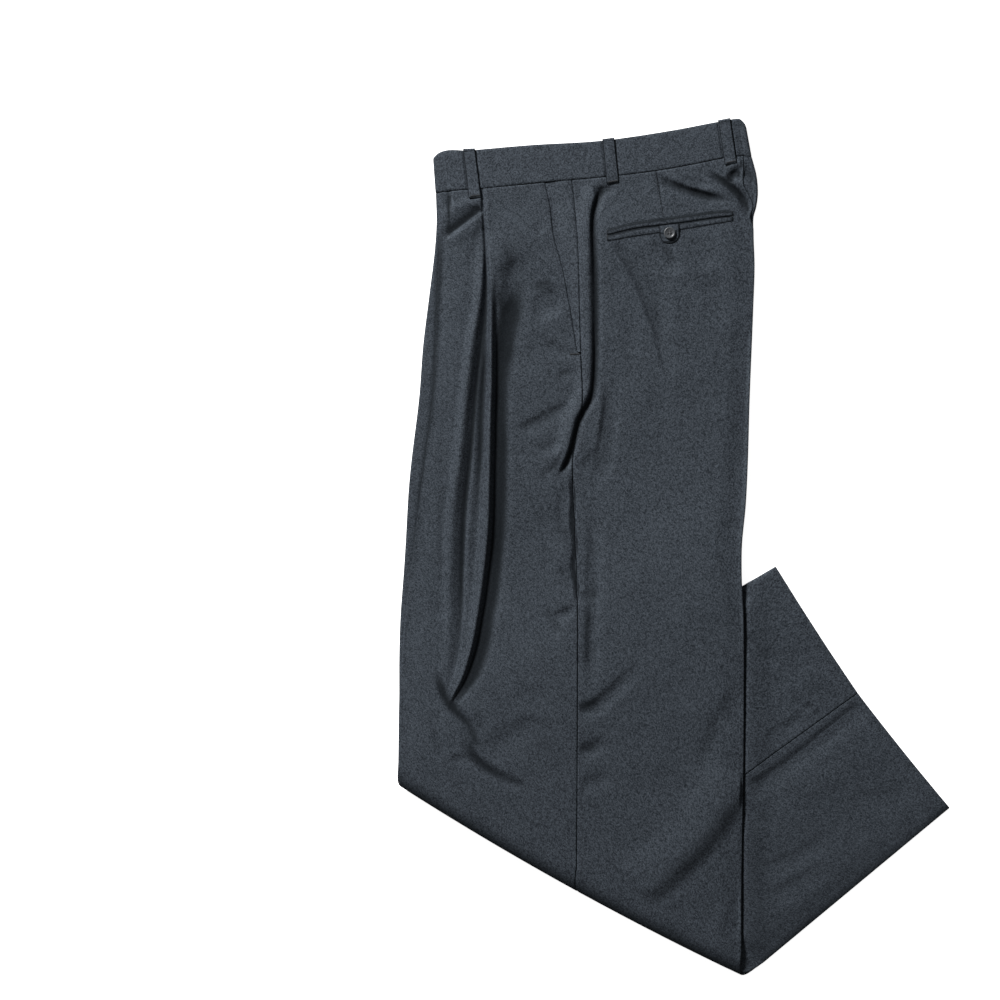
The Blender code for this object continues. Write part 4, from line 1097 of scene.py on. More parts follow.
def surface_of(*grids: np.ndarray) -> BVHTree:
    """A surface to lay pieces on, from grids of points.

    Args:
        grids: points, rows by columns by 3 each.

    Returns:
        The surface.
    """
    corners: list[list[float]] = []
    faces: list[tuple[int, ...]] = []
    for grid in grids:
        rows, columns = grid.shape[:2]
        index = len(corners) + np.arange(rows * columns).reshape(rows, columns)
        corners.extend(grid.reshape(-1, 3).tolist())
        quads = np.stack((index[:-1, :-1], index[:-1, 1:], index[1:, 1:], index[1:, :-1]), -1)
        faces.extend(map(tuple, quads.reshape(-1, 4).tolist()))
    return BVHTree.FromPolygons(corners, faces)


def skin_height(surface: BVHTree, x: float, y: float) -> float:
    """Height of a surface's highest point at one place."""
    hit = surface.ray_cast(Vector((x, y, SKY)), Vector((0.0, 0.0, -1.0)))
    return hit[0].z if hit[0] else 0.0


def highest(surface: BVHTree, x: float, y: float, reach: float) -> float:
    """Height of a surface's highest point within a square round one place."""
    steps = (-reach, 0.0, reach)
    return max(skin_height(surface, x + dx, y + dy) for dx in steps for dy in steps)


def bmesh_object(name: str, shape: bmesh.types.BMesh) -> bpy.types.Object:
    """Make an object from a bmesh in millimetres on the table.

    Args:
        name: the piece's name.
        shape: the bmesh, which is freed.

    Returns:
        The object.
    """
    bmesh.ops.translate(shape, verts=shape.verts, vec=-Vector(CENTRE))
    bmesh.ops.scale(shape, verts=shape.verts, vec=(MM, MM, MM))
    bmesh.ops.recalc_face_normals(shape, faces=shape.faces)
    mesh = bpy.data.meshes.new(name)
    shape.to_mesh(mesh)
    shape.free()
    mesh.shade_smooth()
    mesh.set_sharp_from_angle(angle=math.radians(SHARP_ANGLE))
    made = bpy.data.objects.new(name, mesh)
    bpy.context.scene.collection.objects.link(made)
    return made


def dress(piece: bpy.types.Object, finish: bpy.types.Material, slot: str,
          *nodes: str) -> bpy.types.Object:
    """Give a piece its finish and tie it to the frame.

    Args:
        piece: the piece.
        finish: its material.
        slot: not used.
        nodes: the CAD nodes that it stands for.

    Returns:
        The piece.
    """
    piece.data.materials.append(finish)
    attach(piece, BODY)
    if nodes:
        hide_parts(*nodes)
    LOG.info("%s: %d faces", piece.name, len(piece.data.polygons))
    return piece


# ---------------------------------------------------------------- legs


@dataclass(frozen=True)
class PaintedRimShade:
    """Painted shade along a panel's own creases: how dark it is, where it starts and how far it
    goes.
    """

    fold: float = 0.8
    fold_reach: float = 16.0
    fold_from: float = 90.0
    fold_over: float = 40.0
    shin: float = 0.85
    shin_reach: float = 11.0
    front: float = 0.8
    front_out: float = 1.0
    front_grown: float = 3.0
    front_from: float = -60.0
    front_over: float = 120.0
    upper_reach: float = 2.5
    upper_more: float = 5.0
    upper_from: float = 90.0
    upper_over: float = 130.0
    lower_reach: float = 4.0


@dataclass(frozen=True)
class LegPanel:
    """One panel of a leg: the shell of its outer side, round the crease to a short arm."""

    lay: Lay
    relief: Relief
    leg: Leg
    panel: Panel
    thigh_rows: int
    turn_rows: int
    shin_rows: int
    flat: tuple[float, float]
    area: float
    arm: float = 12.0
    fold_arm: float = 7.0
    left_seat_arm: tuple[float, float, float] = (1.7, 332.0, 16.0)
    right_seat_arm: tuple[float, float, float] = (2.9, 342.0, 30.0)
    arm_ease: float = 9.0
    arm_clear: float = 4.0
    arm_from: float = 0.85
    arm_over: float = 0.15
    share_ease: float = 3.0
    layer_gap: float = 0.1
    out_from: float = -200.0
    out_over: float = 80.0
    wrap_from: float = 340.0
    wrap_over: float = 9.0
    front_roll: Rows = ((1.8, 0.0), (0.9, 0.10), (0.4, 0.38), (0.05, 0.95))
    back_roll: Rows = ((0.9, 0.1), (0.5, 0.13), (0.25, 0.24), (0.05, 0.6))
    top_roll: Rows = ((0.0, 0.8), (0.0006, 0.32), (0.0012, 0.08), (0.0017, 0.0))
    settled: tuple[float, ...] = (24.0, 31.0, 37.0, 43.0, 50.0, 56.0, 66.0, 80.0)
    settle_from: float = 0.86
    settle_over: float = 0.14
    crease_strip: float = 5.0
    roll_width: float = 9.6
    roll_from: float = 8.0
    roll_over: float = 12.0
    seam_strip: float = 2.4
    side_strip: float = 20.0
    side_share: float = 0.6
    side_near: float = 0.3
    front_counts: tuple[int, ...] = (3, 14, 6, 7, 5, 3, 5, 7, 6, 6, 9, 8, 10, 5)
    back_stops: tuple[float, ...] = (6.0, 14.0, 26.0)
    back_seam_stops: tuple[float, ...] = (26.0, 14.0, 1.4)
    back_counts: tuple[int, ...] = (4, 4, 6, 66, 9, 11)
    right_stops: tuple[float, ...] = (14.0, 26.0)
    right_seam_stops: tuple[float, ...] = (24.0, 2.4)
    right_counts: tuple[int, ...] = (6, 6, 48, 12)
    tightest: float = 0.6
    painted_rim_shade: PaintedRimShade = PaintedRimShade()
    lower_crease_out: Rows = (
        (-161.0, 0.6), (-119.6, 2.3), (-5.2, 8.2), (98.8, 13.2), (202.8, 11.8), (254.8, 7.8),
        (306.8, 3.5), (340.0, 1.0), (366.1, 0.6))
    centre_back_in: Rows = (
        (330.0, 0.2), (340.0, 3.2), (352.0, 3.4), (375.4, 14.8), (403.5, 9.0))
    pocket_mouth: Rows = (
        (198.6, -101.7), (249.2, -110.0), (289.6, -117.8), (323.4, -126.8), (352.6, -130.3),
        (378.1, -135.9))

    @property
    def name(self) -> str:
        """The panel's node."""
        return f"{self.leg.value}_{self.panel.value}"

    @property
    def seam_roll(self) -> Rows:
        """Rows (distance from the seam, drop), tighter on the back than on the front."""
        return self.front_roll if self.panel is Panel.FRONT else self.back_roll

    def seam_end(self, row: Row) -> float:
        """Distance from the crease at which the panel ends.

        Args:
            row: the row.

        Returns:
            The distance to the side seam, or to the slanted pocket's mouth.
        """
        end = self.lay.row_width(row, self.panel) - 0.5 * self.lay.seam_gap
        pocketed = self.leg is Leg.LEFT and self.panel is Panel.FRONT
        if pocketed and row.zone is Zone.THIGH:
            y = self.lay.row_points(row, self.panel, np.array(end))[1]
            if y > self.pocket_mouth[0][0]:
                return min(end, self.lay.reach_x(row, self.panel, self.pocket_mouth))
        return end

    def arm_length(self, row: Row) -> float:
        """Length of the cloth turned back inside the crease.

        Args:
            row: the row.

        Returns:
            The length, shorter round the slanted fold and near the centre-back seam.
        """
        if row.zone is not Zone.THIGH:
            return self.fold_arm
        near_fold = float(smooth((row.at - self.arm_from) / self.arm_over))
        length = self.arm + (self.fold_arm - self.arm) * near_fold
        if self.panel is Panel.FRONT:
            return length
        left = self.leg is Leg.LEFT
        shortest, end, over = self.left_seat_arm if left else self.right_seat_arm
        y = self.lay.row_ends(row, self.panel)[0][1]
        return shortest + (length - shortest) * float(smooth((end - y) / over))

    def crease_edge(self, row: Row) -> float:
        """Place of the cloth's outermost point, from the crease's line.

        Args:
            row: the row.

        Returns:
            The place, below 0 where the right leg shows past the left one.
        """
        if row.zone is not Zone.THIGH:
            return 0.0
        y = self.lay.row_ends(row, self.panel)[0][1]
        if self.leg is Leg.RIGHT and self.panel is Panel.FRONT:
            grown = float(smooth((y - self.out_from) / self.out_over))
            return -float(through(self.lower_crease_out, y)) * grown
        if self.leg is Leg.LEFT and self.panel is Panel.BACK:
            return float(through(self.centre_back_in, y))
        return 0.0

    def knots(self, row: Row, first: float, end: float) -> tuple[np.ndarray, tuple[int, ...]]:
        """Driving stops of a row, and how finely the cloth is divided between them.

        Args:
            row: the row.
            first: the first stop, at the crease.
            end: the last stop, at the seam.

        Returns:
            The stops from the crease to the seam, and the steps in each gap.
        """
        if self.leg is Leg.LEFT and self.panel is Panel.FRONT:
            guides = np.array(self.settled)
            if row.zone is Zone.THIGH:
                own = np.array([self.lay.reach_x(row, self.panel, self.relief.column(mark))
                                for mark in self.relief.pleat_marks])
                settled = smooth((row.at - self.settle_from) / self.settle_over)
                guides = own + (guides - own) * settled
            roll, plain = guides[0], guides[-1]
            edge = roll - self.roll_width * smooth((roll - self.roll_from) / self.roll_over)
            last = end - self.seam_strip
            rest = last - plain
            side = min(self.side_strip, self.side_share * rest)
            knots = np.array((first, self.crease_strip, edge, *guides,
                              plain + 0.5 * (rest - side), plain + rest - side,
                              last - self.side_near * side, last))
            counts = self.front_counts
        elif self.leg is Leg.LEFT:
            knots = np.array((first, *self.back_stops, *(end - np.array(self.back_seam_stops))))
            counts = self.back_counts
        else:
            knots = np.array((first, *self.right_stops, *(end - np.array(self.right_seam_stops))))
            counts = self.right_counts
        return np.maximum(knots, first + self.tightest * np.arange(len(knots))), counts

    def section(self, row: Row) -> dict[str, np.ndarray]:
        """Outer face of the panel on one row, from the side seam round the crease.

        Args:
            row: the row.

        Returns:
            Arrays w, h and total, the share of relief that each point takes, and the room
            for troughs below it.
        """
        lay = self.lay
        left = self.leg is Leg.LEFT
        edge = self.crease_edge(row)
        arm = self.arm_length(row)
        radius = lay.crease_radius
        wrap = 0.0
        if not left and self.panel is Panel.BACK and row.zone is Zone.THIGH:
            y = lay.row_ends(row, self.panel)[0][1]
            wrap = float(smooth((y - self.wrap_from) / self.wrap_over))
            radius += (0.5 * lay.pile_edge - radius) * wrap
        end = self.seam_end(row)
        first = edge + radius
        knots, counts = self.knots(row, first, end)
        back = np.array([point[0] for point in self.seam_roll])
        w = np.concatenate(((end - back)[::-1], spread(knots, counts)[::-1]))
        drop = np.concatenate(([point[1] for point in self.seam_roll][::-1],
                               np.zeros(len(w) - len(back))))
        if row.zone is Zone.THIGH:
            drop = drop + np.interp(row.at, *zip(*self.top_roll))
        face = lay.pile(row, w) if left else np.zeros_like(w)
        h = face - drop if left else face + drop
        share = smooth((w - first) / self.share_ease)
        start = float(lay.pile(row, max(edge, 0.0))) if left else 0.0
        turn_w, turn_h = u_turn(edge, start, radius, -1.0 if left else 1.0)
        inset = edge + arm
        if wrap:
            y = lay.row_ends(row, self.panel)[0][1]
            seam = float(through(self.centre_back_in, y)) - lay.gap
            inset += (seam - inset) * wrap
        tail_w = np.linspace(turn_w[-1], inset, 6)[1:]
        tail_h = turn_h[-1] + (lay.pile(row, tail_w) - turn_h[-1]) * wrap
        w = np.concatenate((w, turn_w, tail_w))
        total = lay.pile(row, np.maximum(w, 0.0))
        if left:
            total[-len(turn_w) - len(tail_w):] = start
        shown = left if row.zone is Zone.THIGH else not left and row.zone is Zone.SHIN
        share = share if shown else np.zeros_like(share)
        share = np.concatenate((share, np.zeros(len(turn_w)), np.full(len(tail_w), wrap)))
        shallow = 2.0 * lay.crease_radius - 2.0 * lay.cloth - self.layer_gap
        past_arm = smooth((w - edge - arm - self.arm_clear) / self.arm_ease)
        room = shallow - self.relief.deepest * past_arm
        return {"w": w, "h": np.concatenate((h, turn_h, tail_h)), "total": total,
                "share": share, "room": np.minimum(room, -self.relief.deepest)}

    def grid(self) -> tuple[np.ndarray, np.ndarray, np.ndarray]:
        """Places of the outer face and of its points on the flat cloth.

        Returns:
            Points (x, y, z), weave places and painted shade, all rows by columns.
        """
        lay = self.lay
        rows = lay.rows(self.thigh_rows, self.turn_rows, self.shin_rows)
        parts = [self.section(row) for row in rows]
        rises, painted_shades = self.rises(rows, parts)
        points = np.array([lay.placed(row, self.panel, part["w"], part["h"] + rise,
                                      part["total"])
                           for row, part, rise in zip(rows, parts, rises)])
        return points, weave_of(points), painted_shades

    def rises(self, rows: list[Row],
              parts: list[dict[str, np.ndarray]]) -> tuple[np.ndarray, np.ndarray]:
        """Changes of h that the folds and wrinkles make.

        Args:
            rows: the rows.
            parts: their sections.

        Returns:
            Changes and painted shade, rows by columns.
        """
        changes = np.zeros((len(rows), len(parts[0]["w"])))
        painted_shades = np.zeros_like(changes)
        zones = ((Zone.THIGH, self.relief.height, 1.0),
                 (Zone.SHIN, self.relief.lower_height, -1.0))
        for zone, relief, way in zones:
            picked = [i for i, row in enumerate(rows) if row.zone is zone]
            share = np.array([parts[i]["share"] for i in picked])
            if share.any():
                flat = np.array([self.lay.row_points(rows[i], self.panel, parts[i]["w"])
                                 for i in picked])
                room = np.array([parts[i]["room"] for i in picked])
                height, painted_shade = relief(self.lay, flat[..., 0], flat[..., 1])
                changes[picked] = way * np.maximum(height * share, -room)
                painted_shades[picked] = painted_shade * share
        # painted shade along the panel's own creases, added to that of the relief
        for painted_shade, row, part in zip(painted_shades, rows, parts):
            painted_shade[:] = np.maximum(painted_shade, self.rim(row, part["w"]))
        return changes, painted_shades

    def rim(self, row: Row, w: np.ndarray) -> np.ndarray:
        """Painted shade along the panel's own creases.

        Args:
            row: the row.
            w: distances from the crease.

        Returns:
            Painted shade under the front crease, round the slanted fold and along the shin's back.
        """
        left = self.leg is Leg.LEFT
        rim = self.painted_rim_shade
        if row.zone is Zone.TURN and left:
            inset = self.lay.reach * (1.0 - math.sin(math.radians(row.at)))
            past = smooth((row.at - rim.fold_from) / rim.fold_over)
            share = (1.0 - smooth(inset / rim.fold_reach)) * (1.0 - past)
            return np.full(w.shape, rim.fold * float(share))
        if row.zone is Zone.SHIN and not left and self.panel is Panel.BACK:
            return rim.shin * (1.0 - smooth(w / rim.shin_reach))
        if row.zone is Zone.THIGH and self.panel is Panel.FRONT:
            y = self.lay.row_ends(row, self.panel)[0][1]
            out = through(self.lower_crease_out, y)
            share = rim.front * smooth((out - rim.front_out) / rim.front_grown)
            share = share * smooth((y - rim.front_from) / rim.front_over)
            reach = rim.lower_reach
            if left:
                more = smooth((y - rim.upper_from) / rim.upper_over)
                reach = rim.upper_reach + rim.upper_more * more
            return float(share) * (1.0 - smooth((w if left else -w) / float(reach)))
        return np.zeros(w.shape)

    def build(self, finish: bpy.types.Material) -> np.ndarray:
        """Make the panel's shell.

        Args:
            finish: its material.

        Returns:
            The outer face's points, to lay other pieces on.
        """
        points, weave, painted_shade = self.grid()
        piece = sheet_object(f"{self.name}_cloth", points, weave, self.leg is Leg.LEFT,
                             self.lay.cloth, painted_shade)
        dress(piece, finish, "wool", self.name)
        return points


@dataclass(frozen=True)
class InnerLeg:
    """The hidden side of one leg's tube: a sheet between the outer panels' arms."""

    lay: Lay
    leg: Leg
    front: LegPanel
    back: LegPanel
    flat: tuple[float, float]
    area: float
    columns: int = 22
    thigh_rows: int = 70
    turn_rows: int = 10
    shin_rows: int = 40
    tuck: float = 1.2
    tuck_over: float = 12.0
    nearest: float = 3.2
    into_band: float = 4.0

    def build(self, finish: bpy.types.Material) -> None:
        """Make the sheet.

        Args:
            finish: its material.
        """
        lay = self.lay
        left = self.leg is Leg.LEFT
        points = []
        for row in lay.rows(self.thigh_rows, self.turn_rows, self.shin_rows):
            lines = []
            for panel in (self.front, self.back):
                width = lay.row_width(row, panel.panel)
                start = panel.crease_edge(row) + panel.arm_length(row) + lay.gap
                start = max(start, self.nearest)
                w = np.linspace(start, width, self.columns)
                total = lay.pile(row, w)
                deep = self.tuck * smooth((w - start) / self.tuck_over)
                deep = deep if row.zone is Zone.THIGH else np.zeros_like(w)
                level = 2.0 * lay.crease_radius
                h = np.maximum(total - level - deep, lay.wall + lay.cloth + lay.gap)
                h = h if left else level - deep
                lines.append(lay.placed(row, panel.panel, w, h, total))
            points.append(np.concatenate((lines[0], lines[1][-2::-1])))
        points = np.array(points)
        points = np.concatenate((points[:1] + (0.0, self.into_band, 0.0), points))
        piece = sheet_object(f"{self.leg.value}_leg_inside", points, weave_of(points),
                             not left, lay.cloth)
        dress(piece, finish, "wool", "inner_layers")


# ---------------------------------------------------------------- waistband


@dataclass(frozen=True)
class Waistband:
    """Half of the waistband, round the front crease and, on the right, the back edge."""

    lay: Lay
    leg: Leg
    flat: tuple[float, float]
    wall: float = 1.2
    height: float = 6.4
    front: float = -249.5
    back: float = 79.8
    centre: float = 70.8
    lean_front: float = -2.6
    lean_more: float = -3.6
    arm: float = 14.0
    front_strip: float = 16.0
    top_clear: float = 0.5
    top_face: float = 0.3
    # painted shade in the band's grooves, grown from their depth
    shade: float = 1.8
    shade_from: float = 0.8
    columns: int = 330
    rows: int = 20
    seam_gap: float = 0.6
    top_edge: Rows = (
        (-251.5, 402.8), (-246.0, 408.0), (-213.5, 410.6), (-151.1, 416.0), (-76.2, 420.7),
        (-1.3, 431.6), (48.6, 441.0), (66.0, 443.6), (73.6, 437.5))
    foot_roll: Rows = ((0.0, 0.55), (0.012, 0.22), (0.04, 0.04), (0.07, 0.0))
    top_roll: Rows = ((0.93, 0.0), (0.96, 0.10), (0.985, 0.35), (1.0, 0.8))
    creases: tuple[Crease, ...] = (
        Crease(-0.6, 7, 9, ((69.0, 445.0), (66.0, 425.0), (68.0, 400.0)), fade=(0.05, 0.05)),
        Crease(-0.5, 3, 3, ((-90.7, 412.9), (-93.0, 398.0), (-95.9, 383.8)), sharp=0.3),
        Crease(-0.9, 1.3, 1.0, ((-221.4, 413.0), (-216.0, 366.0)), fade=(0.01, 0.01)),
        Crease(-0.9, 1.0, 1.3, ((-207.4, 413.0), (-202.2, 368.0)), fade=(0.01, 0.01)),
        Crease(-0.9, 1.3, 1.0, ((-76.6, 423.0), (-72.2, 381.0)), fade=(0.01, 0.01)),
        Crease(-0.9, 1.0, 1.3, ((-62.6, 423.0), (-58.3, 382.0)), fade=(0.01, 0.01)),
        Crease(-0.9, 1.3, 1.0, ((43.7, 441.0), (49.8, 400.0)), fade=(0.01, 0.01)),
        Crease(-0.9, 1.0, 1.3, ((58.0, 442.0), (63.6, 402.0)), fade=(0.01, 0.01)),
        Crease(-0.35, 5, 7, ((-190.0, 413.0), (-186.0, 392.0), (-188.0, 372.0)), fade=(0.2, 0.2)),
        Crease(0.35, 9, 9, ((-20.0, 428.0), (-14.0, 408.0), (-18.0, 391.0)), fade=(0.2, 0.2)),
    )

    def flat_point(self, x: np.ndarray, v: float) -> np.ndarray:
        """Flat points of the band.

        Args:
            x: places of the points' feet on the waist seam.
            v: fraction of the band's height.

        Returns:
            Points (x, y).
        """
        seam_y = through(self.lay.waist_seam, x) + self.seam_gap
        share = (x - self.front) / (self.back - self.front)
        lean = self.lean_front + self.lean_more * share
        top_y = through(self.top_edge, x + lean)
        return np.stack((x + lean * v, seam_y + (top_y - seam_y) * v), axis=-1)

    def section(self) -> tuple[np.ndarray, np.ndarray]:
        """Outer line of the band seen from the waist, round the front crease.

        Returns:
            Places x and heights h, from the band's end at the centre back.
        """
        radius = self.wall + 0.5 * self.lay.crease_gap
        near = self.front + self.front_strip
        if self.leg is Leg.LEFT:
            flat_x = np.linspace(self.centre - 0.5 * self.lay.gap, near, self.columns)
            turn = u_turn(self.front, self.height, radius, -1.0)
            flat_h = np.full(self.columns, self.height)
            back_x, back_h = np.empty(0), np.empty(0)
        else:
            round_back = 0.5 * self.height
            end = self.back - round_back
            flat_x = np.linspace(end, near, self.columns)
            flat_h = np.zeros(self.columns)
            turn = u_turn(self.front, 0.0, radius, 1.0)
            over_w, over_h = u_turn(0.0, 0.0, round_back, 1.0)
            back_x = np.concatenate((np.linspace(self.centre + 0.5 * self.lay.gap,
                                                 self.back - over_w[-1], 6)[:-1],
                                     self.back - over_w[::-1]))
            back_h = np.concatenate((np.full(5, over_h[-1]), over_h[::-1]))
        close = np.linspace(near, self.front + radius, 7)[1:]
        tail_x = np.linspace(turn[0][-1], self.front + self.arm, 5)[1:]
        x = np.concatenate((back_x, flat_x, close, turn[0], tail_x))
        h = np.concatenate((back_h, flat_h, np.full(6, flat_h[0]), turn[1],
                            np.full(4, turn[1][-1])))
        return x, h

    def grid(self) -> tuple[np.ndarray, np.ndarray, np.ndarray]:
        """Places of the outer face and of its points on the flat cloth.

        Returns:
            Points (x, y, z), weave places and painted shade, all rows by columns.
        """
        x, h = self.section()
        dx, dh = np.gradient(x), np.gradient(h)
        size = np.hypot(dx, dh)
        way = 1.0 if self.leg is Leg.LEFT else -1.0
        inward = np.stack((-way * dh / size, way * dx / size), axis=-1)
        relief = Relief()
        rolls = self.foot_roll + self.top_roll
        middle = np.linspace(self.foot_roll[-1][0], self.top_roll[0][0], self.rows)[1:-1]
        stops = np.concatenate(([roll[0] for roll in self.foot_roll], middle,
                                [roll[0] for roll in self.top_roll]))
        steps = np.hypot(np.diff(x), np.diff(h))
        across = np.concatenate(([0.0], np.cumsum(steps)))
        points = []
        weave = []
        painted_shade = []
        for v in stops:
            drop = float(np.interp(v, [roll[0] for roll in rolls], [roll[1] for roll in rolls]))
            flat = self.flat_point(x + drop * inward[:, 0], float(v))
            z = h + drop * inward[:, 1]
            top = z > self.height - 2.0 * drop - self.top_clear
            rise = sum(relief.crease_height(flat[:, 0], flat[:, 1], crease)
                       for crease in self.creases)
            z = z + np.where(top & (h > self.height - self.top_face), rise, 0.0)
            # painted shade in the grooves beside the loops and in the band's folds
            painted_shade.append(np.clip(-self.shade * rise - self.shade_from, 0.0, 1.0))
            points.append(np.concatenate((flat, z[:, None]), axis=-1))
            weave.append(np.stack((np.full(len(x), float(v) * self.flat[1] / MM), across), -1))
        return np.array(points), np.array(weave), np.array(painted_shade)

    def build(self, finish: bpy.types.Material) -> np.ndarray:
        """Make the band's shell.

        Args:
            finish: its material.

        Returns:
            The outer face's points, to lay other pieces on.
        """
        points, weave, painted_shade = self.grid()
        left = self.leg is Leg.LEFT
        name = f"waistband_{self.leg.value}"
        piece = sheet_object(f"{name}_cloth", points, weave, left, self.wall, painted_shade)
        dress(piece, finish, "wool", name)
        return points


# ---------------------------------------------------------------- pockets


@dataclass(frozen=True)
class SlantPocket:
    """The slanted side pocket's facing, from under the front to the outseam."""

    lay: Lay
    relief: Relief
    front: LegPanel
    under: float = 12.0
    narrowest: float = 1.2
    step: float = 1.3
    columns: int = 16
    under_columns: int = 4
    flat: tuple[float, float] = (0.046, 0.182)
    area: float = 0.0052

    def build(self, finish: bpy.types.Material) -> np.ndarray:
        """Make the facing's shell.

        Args:
            finish: its material.

        Returns:
            The outer face's points, to lay other pieces on.
        """
        lay = self.lay
        points = []
        weave = []
        top = None
        for row in lay.rows(self.front.thigh_rows, 1, 1):
            mouth = self.front.seam_end(row)
            seam = lay.row_width(row, Panel.FRONT) - 0.5 * lay.gap
            if seam - mouth < self.narrowest:
                break
            t = np.linspace(0.0, 1.0, self.columns)
            under = np.linspace(mouth - self.under, mouth, self.under_columns + 1)[:-1]
            w = np.concatenate((under, mouth + t * (seam - mouth)))
            ease = np.concatenate((np.zeros(self.under_columns), smooth(t)))
            drop = np.interp(seam - w, *zip(*self.front.seam_roll[::-1]))
            total = lay.pile(row, w)
            flat = lay.row_points(row, Panel.FRONT, w)
            rise = self.relief.height(lay, flat[:, 0], flat[:, 1])[0]
            h = total - self.step * (1.0 - ease) - drop * ease + rise
            line = lay.placed(row, Panel.FRONT, w, h, total)
            top = line[0] if top is None else top
            down = np.full(len(w), abs(line[0][1] - top[1]))
            points.append(line)
            weave.append(np.stack((w, down), axis=-1))
        points = np.array(points)
        piece = sheet_object("pocket_facing_cloth", points, np.array(weave), True, lay.cloth)
        dress(piece, finish, "wool", "pocket_facing")
        return points


@dataclass(frozen=True)
class WeltPocket:
    """The back pocket: two rolled lips, and the tab that comes out of the slit."""

    lay: Lay
    top: Rows = ((-71.0, 327.0), (-41.4, 334.6), (-26.3, 336.9), (12.4, 342.2), (47.3, 346.6),
                 (59.5, 346.9))
    slit: Rows = ((-71.0, 321.4), (-41.4, 328.6), (-17.5, 331.8), (2.8, 334.3), (41.5, 340.0),
                  (59.5, 342.0))
    foot: Rows = ((-71.0, 316.2), (-40.4, 321.4), (4.7, 327.9), (41.4, 334.1), (59.5, 337.2))
    roll: Rows = ((0.0, 0.05), (0.08, 0.2), (0.2, 0.36), (0.4, 0.45), (0.6, 0.45),
                  (0.8, 0.36), (0.92, 0.2), (1.0, 0.05))
    # painted shade of each row of the lips, darkest along the lines between them
    upper_shade: tuple[float, ...] = (1.0, 1.0, 1.0, 0.35, 0.0, 0.3, 1.0, 1.0)
    lower_shade: tuple[float, ...] = (1.0, 1.0, 0.3, 0.0, 0.0, 0.1, 0.4, 0.8)
    wall: float = 0.4
    lift: float = 0.1
    opening: Rows = ((-71.0, 1.2), (-30.0, 0.75), (59.5, 0.55))
    columns: int = 60
    tab_x: float = -6.6
    tab_top: float = 332.6
    tab_width: float = 21.0
    tab_length: float = 18.6
    tab_straight: float = 9.0
    tab_tip: float = 2.2
    tab_lean: float = 0.06
    tab_rise: float = 0.12
    tab_wall: float = 0.6
    tab_bevel: float = 0.4
    tab_edge: int = 12
    # painted shade round the tab's sides and point: columns and rows shaded dark
    shaded_columns: int = 3
    shaded_rows: int = 8
    lip_feel: float = 0.8
    tab_feel: float = 1.0
    tab_area: float = 0.00034

    def lip(self, surface: BVHTree, top: Rows, foot: Rows,
            upper_side: bool) -> tuple[np.ndarray, np.ndarray]:
        """One rolled lip between two lines on the left back.

        Args:
            surface: what it lies on.
            top: its upper line.
            foot: its lower line.
            upper_side: whether it is the lip above the slit.

        Returns:
            Points of the lip's face and weave places.
        """
        xs = np.linspace(top[0][0], top[-1][0], self.columns)
        gap = through(self.opening, xs)
        upper = through(top, xs) - (0.0 if upper_side else gap)
        lower = through(foot, xs) + (gap if upper_side else 0.0)
        base = np.array([max(highest(surface, x, y, self.lip_feel) for y in np.linspace(b, a, 3))
                         for x, a, b in zip(xs, upper, lower)])
        base = np.convolve(np.pad(base, 2, "edge"), np.full(5, 0.2), "valid")
        points = []
        weave = []
        for share, rise in self.roll:
            y = upper + (lower - upper) * share
            points.append(np.stack((xs, y, base + self.lift + self.wall + rise), -1))
            weave.append(np.stack((y, xs), -1))
        return np.array(points), np.array(weave)

    def tab(self, surface: BVHTree) -> tuple[np.ndarray, np.ndarray]:
        """The tab, with a rounded point.

        Args:
            surface: what it lies on.

        Returns:
            Points of the tab's face and weave places.
        """
        half = 0.5 * self.tab_width
        straight = self.tab_straight
        across = np.sin(np.linspace(-0.5, 0.5, 17) * math.pi)
        points = []
        for v in self.tab_length * np.sin(np.linspace(0.0, 0.5, 24) * math.pi):
            bend = max(0.0, v - straight) / (self.tab_length - straight)
            reach = self.tab_tip + (half - self.tab_tip) * math.sqrt(max(0.0, 1 - bend * bend))
            x = self.tab_x + across * reach + self.tab_lean * v
            y = self.tab_top - v + self.tab_rise * across * reach
            base = max(highest(surface, a, b, self.tab_feel) for a, b in zip(x, y))
            edge = base + self.lay.gap + self.tab_wall - self.tab_bevel
            rise = self.tab_bevel * (1.0 - across ** self.tab_edge)
            points.append(np.stack((x, y, edge + rise), -1))
        points = np.array(points)
        return points, points[..., :2]

    def outline(self, shape: tuple[int, int], line: tuple[float, ...] = ()) -> np.ndarray:
        """Painted shade along a piece's ends and, row by row, along its length.

        Args:
            shape: rows and columns of the piece's grid.
            line: each row's painted shade, or nothing for a tab, shaded dark all round.

        Returns:
            Painted shade, rows by columns.
        """
        painted_shade = np.zeros(shape)
        if line:
            painted_shade += np.array(line)[:, None]
            painted_shade[:, [0, -1]] = 1.0
            return painted_shade
        painted_shade[:, :self.shaded_columns] = 1.0
        painted_shade[:, -self.shaded_columns:] = 1.0
        painted_shade[-self.shaded_rows:] = 1.0
        return painted_shade

    def build(self, back: np.ndarray, finish: bpy.types.Material) -> np.ndarray:
        """Make the lips and the tab.

        Args:
            back: the left back's outer face.
            finish: their material.

        Returns:
            The tab's face, to lay the button on.
        """
        surface = surface_of(back)
        upper = self.lip(surface, self.top, self.slit, True)
        lower = self.lip(surface, self.slit, self.foot, False)
        tab = self.tab(surface_of(back, lower[0]))
        for name, (points, weave), line, wall in (
                ("welt_upper", upper, self.upper_shade, self.wall),
                ("welt_lower", lower, self.lower_shade, self.wall),
                ("pocket_tab", tab, (), self.tab_wall)):
            piece = sheet_object(f"{name}_cloth", points, weave, True, wall,
                                 self.outline(points.shape[:2], line))
            dress(piece, finish, "wool", name)
        return tab[0]


